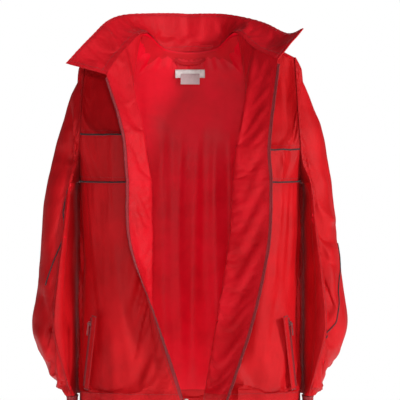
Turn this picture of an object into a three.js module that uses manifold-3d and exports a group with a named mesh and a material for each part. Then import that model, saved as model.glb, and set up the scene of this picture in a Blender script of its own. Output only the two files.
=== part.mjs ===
// A foul weather jacket that hangs from its shoulders with its front open. Millimetres, +Z up.
// The front faces -Y. The origin is in the plane of the shoulders, level with the seam at the nape.
// Left is the -X side and right the +X side, as someone who faces the jacket sees them.
import * as THREE from "three";
import { mergeVertices } from "three/addons/utils/BufferGeometryUtils.js";
import Module from "manifold-3d";

// Body
const bodyLength = 725; // nape to hem
const chestHalf = 225; // middle to side seam
const backDepth = 100; // shoulder plane to the middle of the back
const frontDepth = 142; // shoulder plane to the front edges
const shoulderHalf = chestHalf - 12;
const shoulderDrop = 15;
const neckHalf = 98;
const neckRise = 44; // the shoulders stand this far above the nape
const napeDepth = 72;
const collarbone = { out: 37, forward: 50, rise: 5 }; // the neck seam's place, from the side of the neck
const armholeDrop = 267; // the armhole ends level with the lower chest seam
const armholeHalf = 70; // half of the armhole from front to back
const hemHeight = 32;

// Collar
const collarHeight = 80;
const collarLean = 10;

// Sleeves
const sleeveLength = 737; // shoulder tip to cuff
const sleeveBulge = 100; // outward, past the side seam, at its widest
const sleeveHalfDepth = 90;
const cuffHeight = 50;
const cuffHalfDepth = 45;
const cuffThick = 18;
const bodyToSleeve = 6;

// Cloth layers, from the outside in
const clothThick = 2;
const pocketThick = 1.6;
const liningThick = 1.2;
const layerGap = 0.8;
const seamGap = 1.5;
const sleeveGap = 3;
const shoulderGap = 8;
const liningShoulderGap = 20;
const pipingRadius = 1.5;
const pipingGap = 1;

// Zips
const tapeWidth = 7;
const tapeThick = 1.6;
const tapeGap = 0.8;
const sliderLength = 14;
const stopLength = 8; // the box and the pin at the feet of the tapes
const sliderWall = 1.4;
const barRadius = 0.7;
const eyeRadius = 2.1;
const eyeGap = 0.4;
const bridgePost = { width: 1, length: 1.6 };
const pullWidth = 3.4;
const pullLength = 24;
const pullThick = 1.4;
const pocketLength = 140;
const pocketChainWidth = 4;
const pocketSlider = { width: 7, length: 9, fromTop: 12 };
const welt = { width: 14, thick: 1.2, past: 6 };
const pocketPlace = { high: { u: 0.36, v: 0.47 }, low: { u: 0.27, v: 0.72 }, standOff: 7 };
const pocketBag = { us: [1 / 6, 1 / 2], vs: [3 / 8, 3 / 4] }; // between fold lines of the lower front

// Neck fittings
const loop = { half: 31, sag: 16, width: 6, thick: 1.4, standOff: 5 };
const label = { width: 61, height: 17, thick: 0.8, standOff: 4 };
const careLabel = { width: 39, height: 22, thick: 0.6 };

// Each side hangs in its own way. yokeShare is the yoke seam's place between the nape and the armhole's
// foot. in says what share of chestHalf the cloth has come in from the side seam, and share how much of
// the front's depth it has: at the roll of the facing, and at the edge with the zip.
// sleevePiping passes these places, as shares across and down the top sleeve.
const SIDES = [
  {
    name: "left",
    sign: -1,
    yokeShare: 0.648,
    neckEnd: { in: 57, drop: 55 },
    collarWay: [[1, -0.03, 0.28], [0.82, -0.1, 0.22], [0.72, -0.1, 0.28], [0.2, 0.08, 0.9]],
    sleevePiping: [[0.95, 0.47], [0.96, 0.62], [0.8, 0.74]],
    roll: { in: [0.578, 0.636, 0.653, 0.644, 0.760, 0.791], share: [0.78, 0.76, 0.74, 0.76, 0.88, 0.9] },
    edge: { in: [0.418, 0.458, 0.476, 0.689, 0.898, 0.942], share: [0.98, 1, 1, 1, 0.88, 0.85] },
  },
  {
    name: "right",
    sign: 1,
    yokeShare: 0.76,
    neckEnd: { in: 48, drop: 25 },
    collarWay: [[0.64, 0.03, 0.77], [0.81, -0.06, 0.31], [0.65, -0.08, 0.15], [0.2, 0.08, 0.88]],
    sleevePiping: [[0.48, 0.66], [0.78, 0.76], [0.95, 0.84]],
    roll: { in: [0.573, 0.600, 0.636, 0.742, 0.849, 0.871], share: [0.76, 0.72, 0.68, 0.66, 0.66, 0.66] },
    edge: { in: [0.311, 0.293, 0.311, 0.449, 0.662, 0.711], share: [0.95, 1, 1, 1, 0.95, 0.94] },
  },
];

const MATERIALS = {
  nylon: { color: "#c8202e", roughness: 0.55, metalness: 0 },
  lining: { color: "#d8001f", roughness: 0.4, metalness: 0 },
  piping: { color: "#14141c", roughness: 0.6, metalness: 0 },
  tape: { color: "#9c1522", roughness: 0.8, metalness: 0 },
  metal: { color: "#b8b8bc", roughness: 0.3, metalness: 1 },
  label: { color: "#e8e4e2", roughness: 0.7, metalness: 0 },
  knit: { color: "#8f1720", roughness: 0.9, metalness: 0 },
};

const wasm = await Module();
wasm.setup();
const jacket = new THREE.Group();

const point = (x, y, z) => new THREE.Vector3(x, y, z);
const through = (points) => new THREE.CatmullRomCurve3(points);
const mix = THREE.MathUtils.lerp;

function add(name, geometry, finish, parent = jacket) {
  const mesh = new THREE.Mesh(geometry, new THREE.MeshStandardMaterial(MATERIALS[finish]));
  mesh.name = name;
  parent.add(mesh);
  return mesh;
}

// A surface through rows of guide points: u runs along a row and v from the first row to the last.
function surfaceThrough(rows) {
  const lines = rows.map(through);
  return (u, v) => through(lines.map((line) => line.getPoint(u))).getPoint(v);
}

const NUDGE = 0.002;

// How the surface runs at one place: its two slopes per unit of u and v, and the way out of it.
function slopesAt(surface, u, v) {
  const a = THREE.MathUtils.clamp(u, NUDGE, 1 - NUDGE);
  const b = THREE.MathUtils.clamp(v, NUDGE, 1 - NUDGE);
  const along = surface(a + NUDGE, b).sub(surface(a - NUDGE, b)).divideScalar(2 * NUDGE);
  const down = surface(a, b + NUDGE).sub(surface(a, b - NUDGE)).divideScalar(2 * NUDGE);
  return { along, down, out: along.clone().cross(down).normalize() };
}

// A closed solid between two grids of points with the same rows and columns.
function solidBetween(upper, lower) {
  const rows = upper.length;
  const columns = upper[0].length;
  const positions = [...upper.flat(), ...lower.flat()].flatMap((p) => p.toArray());
  const at = (layer, i, j) => layer * rows * columns + i * columns + j;
  const faces = [];
  const quad = (a, b, c, d) => faces.push(a, b, c, a, c, d);
  for (let i = 0; i + 1 < rows; i++) {
    for (let j = 0; j + 1 < columns; j++) {
      quad(at(0, i, j), at(0, i + 1, j), at(0, i + 1, j + 1), at(0, i, j + 1));
      quad(at(1, i, j), at(1, i, j + 1), at(1, i + 1, j + 1), at(1, i + 1, j));
    }
    quad(at(0, i, 0), at(1, i, 0), at(1, i + 1, 0), at(0, i + 1, 0));
    const j = columns - 1;
    quad(at(0, i, j), at(0, i + 1, j), at(1, i + 1, j), at(1, i, j));
  }
  for (let j = 0; j + 1 < columns; j++) {
    quad(at(0, 0, j), at(0, 0, j + 1), at(1, 0, j + 1), at(1, 0, j));
    const i = rows - 1;
    quad(at(0, i, j), at(1, i, j), at(1, i, j + 1), at(0, i, j + 1));
  }
  const geometry = new THREE.BufferGeometry();
  geometry.setAttribute("position", new THREE.Float32BufferAttribute(positions, 3));
  geometry.setIndex(faces);
  return facingOut(geometry);
}

function facingOut(geometry) {
  const p = geometry.getAttribute("position");
  const index = geometry.index.array;
  const corner = (i) => new THREE.Vector3().fromBufferAttribute(p, index[i]);
  let volume = 0;
  for (let i = 0; i < index.length; i += 3) {
    volume += corner(i).dot(corner(i + 1).cross(corner(i + 2)));
  }
  if (volume < 0) {
    for (let i = 0; i < index.length; i += 3) {
      [index[i + 1], index[i + 2]] = [index[i + 2], index[i + 1]];
    }
  }
  geometry.computeVertexNormals();
  return geometry;
}

// The places between from and to where a surface has its fold lines, with both ends.
function foldLines(from, to, count) {
  const near = 0.3 / count;
  const lines = [];
  for (let k = 1; k < count; k++) {
    const line = k / count;
    if (line > from + near && line < to - near) lines.push(line);
  }
  return [from, ...lines, to];
}

// One layer of cloth on a surface. us and vs are its share of the surface, depth and thick its place
// under the outer face, and gaps in mm how far it stays back from its four ends. All layers of one
// surface bend along the same lines, folds in all. inward is 1 or -1, and lowest bends the last row.
function cloth(surface, options) {
  const { us, vs, depth, thick, folds, gaps = [0, 0, 0, 0], inward = 1, lowest } = options;
  const across = foldLines(us[0], us[1], folds[0]);
  const down = foldLines(vs[0], vs[1], folds[1]);
  const upper = [];
  const lower = [];
  down.forEach((line, j) => {
    const upperRow = [];
    const lowerRow = [];
    across.forEach((place, i) => {
      let u = place;
      let v = lowest ? mix(vs[0], lowest((u - us[0]) / (us[1] - us[0])), j / (down.length - 1)) : line;
      const slopes = slopesAt(surface, u, v);
      if (i === 0) u += gaps[0] / slopes.along.length();
      if (i === across.length - 1) u -= gaps[1] / slopes.along.length();
      if (j === 0) v += gaps[2] / slopes.down.length();
      if (j === down.length - 1) v -= gaps[3] / slopes.down.length();
      const out = slopesAt(surface, u, v).out.multiplyScalar(inward);
      const at = surface(u, v);
      upperRow.push(at.clone().addScaledVector(out, -depth));
      lowerRow.push(at.addScaledVector(out, -depth - thick));
    });
    upper.push(upperRow);
    lower.push(lowerRow);
  });
  return solidBetween(upper, lower);
}

function disc(radius, sides) {
  const shape = new THREE.Shape();
  for (let i = 0; i < sides; i++) {
    const turn = (2 * Math.PI * i) / sides;
    shape[i ? "lineTo" : "moveTo"](radius * Math.cos(turn), radius * Math.sin(turn));
  }
  return shape;
}

function rectangle(width, height) {
  const shape = new THREE.Shape();
  shape.moveTo(-width / 2, -height / 2);
  shape.lineTo(width / 2, -height / 2);
  shape.lineTo(width / 2, height / 2);
  shape.lineTo(-width / 2, height / 2);
  return shape;
}

function sweep(shape, points, steps) {
  const geometry = new THREE.ExtrudeGeometry(shape, { steps, extrudePath: through(points) });
  return bare(geometry);
}

function bare(geometry) {
  const clean = geometry.index ? geometry.toNonIndexed() : geometry.clone();
  clean.deleteAttribute("normal");
  clean.deleteAttribute("uv");
  return facingOut(mergeVertices(clean, 1e-4));
}

function joined(geometries) {
  const solids = geometries.map((geometry) => {
    const clean = bare(geometry);
    const vertProperties = clean.getAttribute("position").array;
    const triVerts = new Uint32Array(clean.index.array);
    return new wasm.Manifold(new wasm.Mesh({ numProp: 3, vertProperties, triVerts }));
  });
  const mesh = solids.reduce((whole, solid) => whole.add(solid)).getMesh();
  const geometry = new THREE.BufferGeometry();
  geometry.setAttribute("position", new THREE.BufferAttribute(mesh.vertProperties, 3));
  geometry.setIndex(new THREE.BufferAttribute(mesh.triVerts, 1));
  geometry.computeVertexNormals();
  return geometry;
}

function box(width, depth, height, x, y, z) {
  return new THREE.BoxGeometry(width, depth, height).translate(x, y, z);
}

// Depths of the layers under the outer face
const pocketLayer = clothThick + layerGap;
const liningLayer = pocketLayer + pocketThick + layerGap;
const overLining = liningLayer + liningThick + 3 * layerGap;
const sideSeamInset = 13; // the body has come in this far, where it is rounded at the side seam

// The armhole's edge at a drop below the nape: how far it is in front of or behind the shoulder.
function armholeReach(drop) {
  const middle = (shoulderDrop + armholeDrop) / 2;
  const share = (drop - middle) / (armholeDrop - middle);
  return armholeHalf * Math.sqrt(Math.max(0, 1 - share * share));
}

function armholeX(drop) {
  return mix(shoulderHalf, chestHalf, (drop - shoulderDrop) / (armholeDrop - shoulderDrop));
}

// The drops of a front's rows, from the yoke seam down to the hem.
function frontDrops(side) {
  const open = bodyLength - armholeDrop;
  const waist = [armholeDrop + open * 0.26, armholeDrop + open * 0.6];
  return [side.yokeShare * armholeDrop, armholeDrop, ...waist, bodyLength - hemHeight, bodyLength];
}

// The rows of a front. Each runs from the armhole or side seam to the edge, and the first one runs
// along the shoulder seam and then down the neck seam.
function frontRows(side) {
  const shoulder = [
    point(side.sign * shoulderHalf, 0, -shoulderDrop),
    ...neckSeam(side).slice(1).reverse(),
  ];
  const rows = frontDrops(side).map((drop, i) => {
    const inArmhole = drop < armholeDrop;
    const seamX = inArmhole ? armholeX(drop) : chestHalf;
    const seamY = inArmhole ? -armholeReach(drop) : 0;
    const places = [
      [seamX, seamY],
      [chestHalf - sideSeamInset, Math.min(seamY - 22, -0.42 * frontDepth)],
      [chestHalf - 70, -0.74 * frontDepth],
      [chestHalf * (1 - side.roll.in[i]), -side.roll.share[i] * frontDepth],
      [chestHalf * (1 - side.edge.in[i]), -side.edge.share[i] * frontDepth],
    ];
    return places.map(([x, y]) => point(side.sign * x, y, -drop));
  });
  return [shoulder, ...rows];
}

// Half of the neck seam, from the middle of the nape to its front end, with the middle of the
// shoulder seam left out.
function neckSeam(side) {
  return [
    point(0, napeDepth, 0),
    point(side.sign * (chestHalf - side.neckEnd.in), -0.72 * frontDepth, -side.neckEnd.drop),
    point(side.sign * (neckHalf + collarbone.out), -collarbone.forward, collarbone.rise),
    point(side.sign * neckHalf, 12, neckRise),
    point(side.sign * (shoulderHalf + neckHalf) * 0.5, 4, (neckRise - shoulderDrop) / 2),
  ];
}

// The rows of the back, from side seam to side seam.
function backRows() {
  const [left, right] = SIDES.map(napeSeam);
  const shoulders = [...left.slice().reverse(), point(0, napeDepth, 0), ...right];
  const under = bodyLength - armholeDrop;
  const beside = [armholeDrop * 0.26, armholeDrop * 0.66, armholeDrop];
  const drops = [...beside, armholeDrop + under / 2, bodyLength - hemHeight, bodyLength];
  const fullness = [0.88, 1, 1, 1, 0.98, 0.96];
  const rows = drops.map((drop, i) => {
    const inArmhole = drop < armholeDrop;
    const seamX = inArmhole ? armholeX(drop) : chestHalf;
    const seamY = inArmhole ? armholeReach(drop) : 0;
    const half = [
      [seamX, seamY],
      [chestHalf - sideSeamInset - 6, Math.max(seamY + 8, 0.55 * backDepth * fullness[i])],
      [chestHalf * 0.62, 0.88 * backDepth * fullness[i]],
      [chestHalf * 0.31, 0.97 * backDepth * fullness[i]],
    ];
    const middle = point(0, backDepth * fullness[i], -drop);
    const side = (sign) => half.map(([x, y]) => point(sign * x, y, -drop));
    return [...side(-1), middle, ...side(1).reverse()];
  });
  return [shoulders, ...rows];
}

// From beside the nape to the shoulder tip.
function napeSeam(side) {
  const seam = neckSeam(side);
  const nape = point(side.sign * neckHalf * 0.56, napeDepth - 10, neckRise * 0.18);
  const tip = point(side.sign * shoulderHalf, 0, -shoulderDrop);
  return [nape, seam[3], seam[4], tip];
}

// The collar's two rows: its top edge, and the neck seam from front end to front end.
function collarRows() {
  const [left, right] = SIDES.map((side) => {
    const seam = neckSeam(side);
    const bottom = [seam[1], seam[2], seam[3], napeSeam(side)[0]];
    const top = bottom.map((p, i) => {
      const [away, back, up] = side.collarWay[i];
      return p.clone().add(point(side.sign * away, back, up).multiplyScalar(collarHeight));
    });
    return { bottom, top };
  });
  const nape = point(0, napeDepth, 0);
  const stand = point(0, napeDepth + collarLean, collarHeight);
  return [
    [...left.top, stand, ...right.top.reverse()],
    [...left.bottom, nape, ...right.bottom.reverse()],
  ];
}

// The body's surfaces part at the armhole's foot, so that the side seams below it are straight.
function partedAt(rows, row) {
  return { upper: surfaceThrough(rows.slice(0, row + 1)), lower: surfaceThrough(rows.slice(row)) };
}

const back = partedAt(backRows(), 3);
const fronts = SIDES.map((side) => partedAt(frontRows(side), 2));
const collar = surfaceThrough(collarRows());
const HEM_ROW = { back: 2 / 3, front: 3 / 4 }; // the stitching of the hem on the lower surfaces
const YOKE_ROW = 1 / 2; // the upper chest seam on the upper front
const seamGroove = pipingRadius + pipingGap;
const sideGap = 4; // the linings stay this far from the side seams
const cuffGap = 10; // and this far above the cuffs
const SLIT = 0.01; // the share of a way round that is left open where a tube of cloth meets itself

// A piping that lies in the groove between two pieces, along one row of a surface.
function pipingAlong(surface, v, folds) {
  const end = 0.015;
  const points = foldLines(end, 1 - end, folds).map((u) => surface(u, v));
  return sweep(disc(pipingRadius, 6), points, points.length * 2);
}

function makeBack() {
  const whole = { us: [0, 1] };
  const shell = { ...whole, depth: 0, thick: clothThick };
  const lining = { ...whole, depth: liningLayer, thick: liningThick };
  const above = { vs: [0, 1], folds: [16, 6] };
  const yokeGaps = [seamGap, seamGap, shoulderGap, seamGroove];
  add("back_yoke", cloth(back.upper, { ...shell, ...above, gaps: yokeGaps }), "nylon");
  add("back_piping", pipingAlong(back.lower, 0, 16), "piping");
  const panel = { vs: [0, HEM_ROW.back], folds: [16, 6], gaps: [seamGap, seamGap, seamGroove, seamGap] };
  add("back_panel", cloth(back.lower, { ...shell, ...panel }), "nylon");
  const hem = { vs: [HEM_ROW.back, 1], folds: [16, 6], gaps: [seamGap, seamGap, seamGap, 0] };
  add("back_hem", cloth(back.lower, { ...shell, ...hem }), "nylon");
  const yokeLining = { gaps: [sideGap, sideGap, liningShoulderGap, seamGap] };
  add("back_yoke_lining", cloth(back.upper, { ...lining, ...above, ...yokeLining }), "lining");
  const bodyLining = { ...panel, gaps: [sideGap, sideGap, seamGap, 0] };
  add("back_lining", cloth(back.lower, { ...lining, ...bodyLining }), "lining");
  const moon = (t) => 0.3 + 0.3 * Math.sin(Math.PI * t);
  const moonShape = { us: [0.25, 0.75], gaps: [0, 0, liningShoulderGap, 0], lowest: moon };
  const moonFacing = { ...lining, ...above, ...moonShape, depth: overLining };
  add("back_neck_facing", cloth(back.upper, moonFacing), "nylon");
}

function makeCollar() {
  const whole = { us: [0, 1], vs: [0, 1], folds: [20, 3] };
  const outer = { ...whole, depth: 0, thick: clothThick, gaps: [0, 0, 0, shoulderGap] };
  add("collar_shell", cloth(collar, outer), "nylon");
  const inner = { ...whole, depth: clothThick + 3 * layerGap, thick: liningThick };
  add("collar_lining", cloth(collar, { ...inner, gaps: [1, 1, 1, 2 * shoulderGap] }), "nylon");
}

const FACING_FROM = 0.72; // the share of a row at which the facing inside the edge begins

function makeFront({ name, sign }, { upper, lower }) {
  const folds = [12, 8];
  const piece = (part, finish, surface, options) => {
    add(name + "_" + part, cloth(surface, { folds, inward: sign, ...options }), finish);
  };
  const shell = { us: [0, 1], depth: 0, thick: clothThick };
  const yokeGaps = [seamGap, 0, shoulderGap, seamGroove];
  piece("front_yoke", "nylon", upper, { ...shell, vs: [0, YOKE_ROW], gaps: yokeGaps });
  const bandGaps = [seamGap, 0, seamGroove, seamGroove];
  piece("chest_band", "nylon", upper, { ...shell, vs: [YOKE_ROW, 1], gaps: bandGaps });
  const panelGaps = [seamGap, 0, seamGroove, seamGap];
  piece("front_panel", "nylon", lower, { ...shell, vs: [0, HEM_ROW.front], gaps: panelGaps });
  const hemGaps = [seamGap, 0, seamGap, 0];
  piece("front_hem", "nylon", lower, { ...shell, vs: [HEM_ROW.front, 1], gaps: hemGaps });
  add(name + "_upper_chest_piping", pipingAlong(upper, YOKE_ROW, folds[0]), "piping");
  add(name + "_lower_chest_piping", pipingAlong(upper, 1, folds[0]), "piping");

  const inside = { depth: liningLayer, thick: liningThick };
  const split = seamGap / 2;
  const pastPiping = seamGroove + seamGap; // room for the piping when the front swings
  const facing = { ...inside, us: [FACING_FROM, 1] };
  const lining = { ...inside, us: [0, FACING_FROM] };
  const above = { vs: [0, 1] };
  const below = { vs: [0, HEM_ROW.front] };
  const facingGaps = [split, 1, liningShoulderGap, seamGap];
  piece("upper_facing", "nylon", upper, { ...facing, ...above, gaps: facingGaps });
  piece("lower_facing", "nylon", lower, { ...facing, ...below, gaps: [split, 1, pastPiping, 0] });
  const upperGaps = [sideGap, split, liningShoulderGap, seamGap];
  piece("upper_lining", "lining", upper, { ...lining, ...above, gaps: upperGaps });
  piece("lower_lining", "lining", lower, { ...lining, ...below, gaps: [sideGap, split, pastPiping, 0] });
}

// The zip's tape follows the edge of a front, just past it.
function pastEdge(front) {
  return (u, v) => {
    const { along } = slopesAt(front, 1, v);
    return front(1, v).addScaledVector(along.normalize(), tapeGap + tapeWidth * u);
  };
}

function makeZipTapes({ name, sign }, { upper, lower }) {
  const depth = (clothThick - tapeThick) / 2;
  const tape = { us: [0, 1], vs: [0, 1], depth, thick: tapeThick, inward: sign };
  const above = { ...tape, folds: [1, 8], gaps: [0, 0, 2, seamGap] };
  add(name + "_upper_zip_tape", cloth(pastEdge(upper), above), "tape");
  const below = { ...tape, folds: [1, 16], gaps: [0, 0, seamGap, stopLength + 4 * tapeGap] };
  add(name + "_lower_zip_tape", cloth(pastEdge(lower), below), "tape");
}

// A group whose own axes lie on a surface: X along its row, Z up it, and Y square to both.
function groupOn(place, x, z) {
  const y = z.clone().cross(x).normalize();
  const group = new THREE.Group();
  group.matrix.makeBasis(x, y, z.clone().normalize()).setPosition(place);
  group.matrixAutoUpdate = false;
  jacket.add(group);
  return group;
}

// A zip slider's bridge for its pull: two posts on a face at depth y, with a bar between them.
function pullBridge(y, out, z) {
  const reach = eyeRadius + eyeGap;
  const postX = pullWidth / 2 + eyeGap + bridgePost.width / 2;
  const bar = new THREE.CylinderGeometry(barRadius, barRadius, 2 * postX, 8).rotateZ(Math.PI / 2);
  const postY = y + (out * (reach + eyeGap)) / 2;
  const post = (sign) => box(bridgePost.width, reach + 1, bridgePost.length, sign * postX, postY, z);
  return [post(-1), post(1), bar.translate(0, y + out * reach, z)];
}

// A pull that hangs from its eye: its side view, made as wide as it is.
function pullShape() {
  const neck = Math.asin(pullThick / 2 / eyeRadius);
  const shape = new THREE.Shape();
  shape.absarc(0, 0, eyeRadius, -Math.PI / 2 + neck, (3 * Math.PI) / 2 - neck, false);
  shape.lineTo(-pullThick / 2, -pullLength);
  shape.lineTo(pullThick / 2, -pullLength);
  shape.holes.push(new THREE.Path().absarc(0, 0, barRadius + eyeGap, 0, 2 * Math.PI, true));
  const options = { depth: pullWidth, bevelEnabled: false, curveSegments: 5 };
  const geometry = new THREE.ExtrudeGeometry(shape, options).translate(0, 0, -pullWidth / 2);
  return bare(geometry.rotateY(Math.PI / 2).rotateX(Math.PI / 2));
}

// The stations down a sleeve: how far below the nape, how far out its seam and its outer side are,
// and half of its depth from front to back. The first six are beside the armhole.
function sleeveStations() {
  const top = shoulderDrop;
  const bottom = shoulderDrop + sleeveLength - cuffHeight;
  const beside = [0.02, 0.17, 0.31, 0.5, 0.7, 0.87].map((share) => mix(top, armholeDrop, share));
  const below = [0, 0.22, 0.44, 0.68, 0.85, 1].map((share) => mix(armholeDrop + 5, bottom, share));
  const seam = [0, 0, 0, 0, 1, 5, 18, 28, 38, 44, 30, 15];
  const bulge = [0.05, 0.18, 0.3, 0.42, 0.53, 0.6, 0.68, 0.8, 0.9, 1, 0.68, 0.27];
  const depth = [0.12, 0.6, 0.74, 0.78, 0.78, 0.79, 0.8, 0.87, 0.94, 1, 0.86, 0.58];
  const armhole = chestHalf + bodyToSleeve / 2;
  return [...beside, ...below].map((drop, i) => ({
    drop,
    inner: chestHalf + bodyToSleeve,
    seam: armhole + seam[i],
    outer: armhole + bulge[i] * sleeveBulge,
    half: depth[i] * sleeveHalfDepth,
  }));
}

// A row across a sleeve: from its back seam over its outer or its inner side to its front seam.
function sleeveRow(sign, station, reach) {
  const turns = [-90, -60, -30, 0, 30, 60, 90].map(THREE.MathUtils.degToRad);
  return turns.map((turn) => {
    const x = station.seam + (reach - station.seam) * Math.cos(turn);
    return point(sign * x, -station.half * Math.sin(turn), -station.drop);
  });
}

function sleeveSurfaces(sign) {
  const stations = sleeveStations();
  const below = stations.slice(6);
  const around = below.map((station) => {
    const outer = sleeveRow(sign, station, station.outer);
    const inner = sleeveRow(sign, station, station.inner);
    return [...inner.slice(0, 4).reverse(), ...outer.slice(1, 6), ...inner.slice(4).reverse(), inner[3]];
  });
  return {
    top: surfaceThrough(stations.map((station) => sleeveRow(sign, station, station.outer))),
    under: surfaceThrough(below.map((station) => sleeveRow(sign, station, station.inner))),
    around: surfaceThrough(around),
  };
}

function makeSleeve({ name, sign, sleevePiping }) {
  const { top, under, around } = sleeveSurfaces(sign);
  const gaps = [sleeveGap, sleeveGap, 0, 0];
  const shell = { us: [0, 1], vs: [0, 1], depth: 0, thick: clothThick, gaps };
  add(name + "_top_sleeve", cloth(top, { ...shell, inward: sign, folds: [12, 11] }), "nylon");
  add(name + "_under_sleeve", cloth(under, { ...shell, inward: -sign, folds: [12, 5] }), "nylon");
  const liningAround = { us: [SLIT, 1 - SLIT], vs: [0, 1], folds: [12, 5], gaps: [0, 0, 0, cuffGap] };
  const inside = { depth: clothThick + 2 * layerGap, thick: liningThick, inward: sign };
  add(name + "_sleeve_lining", cloth(around, { ...liningAround, ...inside }), "lining");
  const outward = sign * (pipingRadius + 2 * pipingGap);
  const path = through(sleevePiping.map(([u, v]) => point(u, v, 0)));
  const points = path.getPoints(10).map(({ x: u, y: v }) => {
    return top(u, v).addScaledVector(slopesAt(top, u, v).out, outward);
  });
  add(name + "_sleeve_piping", sweep(disc(pipingRadius, 6), points, 20), "piping");
  makeCuff(name, sign);
}

function makeCuff(name, sign) {
  const middle = chestHalf + bodyToSleeve + cuffThick / 2;
  const top = shoulderDrop + sleeveLength - cuffHeight + seamGap;
  const row = (drop) => {
    const points = [];
    for (let i = 0; i <= 16; i++) {
      const turn = Math.PI + (2 * Math.PI * i) / 16;
      const x = middle + (cuffThick / 2) * Math.cos(turn);
      points.push(point(sign * x, -cuffHalfDepth * Math.sin(turn), -drop));
    }
    return points;
  };
  const surface = surfaceThrough([row(top), row(top + cuffHeight - seamGap)]);
  const band = { us: [SLIT, 1 - SLIT], vs: [0, 1], depth: 0, thick: clothThick, folds: [16, 2] };
  add(name + "_cuff", cloth(surface, { ...band, inward: sign }), "knit");
}

// A slanting pocket near the side seam. Its opening is a straight zip that stands on the panel.
function makePocket({ name, sign }, { lower }) {
  const { high: top, low: foot } = pocketPlace;
  const low = lower(foot.u, foot.v);
  const upward = lower(top.u, top.v).sub(low).normalize();
  const middle = slopesAt(lower, (foot.u + top.u) / 2, (foot.v + top.v) / 2);
  const outward = middle.out.multiplyScalar(sign);
  const across = outward.cross(upward).normalize();
  const group = groupOn(low, across, upward);
  const chainY = pocketPlace.standOff;
  const chain = box(pocketChainWidth, tapeThick, pocketLength, 0, chainY, pocketLength / 2);
  add(name + "_pocket_zip_chain", chain, "tape", group);
  const weltX = pocketChainWidth / 2 + layerGap + welt.width / 2;
  const weltLength = pocketLength + 2 * welt.past;
  const flap = box(welt.width, welt.thick, weltLength, sign * weltX, chainY, pocketLength / 2);
  add(name + "_pocket_welt", flap, "nylon", group);
  const faceY = chainY + tapeThick / 2 + layerGap + sliderWall;
  const bodyY = faceY - sliderWall / 2;
  const body = box(pocketSlider.width, sliderWall, pocketSlider.length, 0, bodyY, 0);
  const slider = joined([body, ...pullBridge(faceY, 1, 0)]);
  const start = pocketLength - pocketSlider.fromTop;
  add(name + "_pocket_slider", slider.translate(0, 0, start), "metal", group);
  const pullY = faceY + eyeRadius + eyeGap;
  add(name + "_pocket_pull", pullShape().translate(0, pullY, start), "metal", group);
  const bag = { ...pocketBag, depth: pocketLayer, thick: pocketThick, folds: [12, 8] };
  add(name + "_pocket_bag", cloth(lower, { ...bag, inward: sign }), "lining");
}

// The open zip's slider waits at the foot of the left tape, above the box; the pin ends the right one.
function makeZipEnds([left, right]) {
  const footOf = (front) => {
    const { along, down } = slopesAt(front.lower, 1, 1);
    const x = along.normalize();
    const z = down.addScaledVector(x, -down.dot(x)).normalize().negate();
    return groupOn(front.lower(1, 1), x, z);
  };
  const leftFoot = footOf(left);
  const tapeX = tapeGap + tapeWidth / 2;
  const tapeY = clothThick / 2;
  const stop = box(tapeWidth, tapeThick * 2, stopLength, tapeX, tapeY, stopLength / 2);
  add("zip_box", stop, "metal", leftFoot);
  const pin = box(tapeThick, tapeThick, stopLength, tapeX, -tapeY, stopLength / 2);
  add("zip_pin", pin, "metal", footOf(right));

  const room = tapeThick / 2 + 2 * tapeGap;
  const plateX = tapeX + tapeWidth / 4;
  const plateWidth = tapeWidth / 2 + 2 * tapeGap + sliderWall;
  const start = stopLength + tapeGap + sliderLength / 2;
  const plate = (way) => {
    const y = tapeY + way * (room + sliderWall / 2);
    return box(plateWidth, sliderWall, sliderLength, plateX, y, 0);
  };
  const bridgeX = plateX + plateWidth / 2 - sliderWall / 2;
  const bridge = box(sliderWall, 2 * room + sliderWall, sliderLength, bridgeX, tapeY, 0);
  const face = tapeY - room - sliderWall;
  const pullParts = pullBridge(face, -1, 0).map((part) => part.translate(plateX, 0, 0));
  const slider = joined([plate(-1), plate(1), bridge, ...pullParts]);
  add("zip_slider", slider.translate(0, 0, start), "metal", leftFoot);
  const pull = pullShape().translate(plateX, face - eyeRadius - eyeGap, start);
  add("zip_pull", pull, "metal", leftFoot);
}

// The hang loop, the neck label and the care label hang on the facing at the nape.
function makeNeckFittings() {
  const nape = back.upper(0.5, 0.14);
  const faceY = nape.y - overLining - liningThick;
  const loopY = faceY - loop.standOff - loop.width / 2;
  const dips = [0, 0.55, 0.85, 0.97, 1, 0.97, 0.85, 0.55, 0];
  const points = dips.map((dip, i) => {
    const x = mix(-loop.half, loop.half, i / (dips.length - 1));
    return point(x, loopY, nape.z + loop.sag - loop.sag * dip);
  });
  add("hang_loop", sweep(rectangle(loop.width, loop.thick), points, 24), "nylon");
  const labelY = faceY - layerGap - label.standOff - label.thick / 2;
  const labelZ = nape.z - label.height;
  add("neck_label", box(label.width, label.thick, label.height, 0, labelY, labelZ), "label");
  const careY = labelY - label.thick / 2 - layerGap - careLabel.thick / 2;
  const careZ = labelZ - careLabel.height / 2;
  add("care_label", box(careLabel.width, careLabel.thick, careLabel.height, 0, careY, careZ), "label");
}

makeBack();
makeCollar();
makeNeckFittings();
SIDES.forEach((side, i) => {
  makeFront(side, fronts[i]);
  makeZipTapes(side, fronts[i]);
  makeSleeve(side);
  makePocket(side, fronts[i]);
});
makeZipEnds(fronts);

export default jacket;
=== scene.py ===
"""The looks of a foul weather jacket that hangs by its shoulders, open in front.

Lengths in the tables are in millimetres and every mesh is in metres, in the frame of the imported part:
+Z up, -Y out of the open front, the origin in the plane of the shoulders, level with the nape.
Left is -X and right is +X, as someone who faces the jacket sees them.
"""

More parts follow.
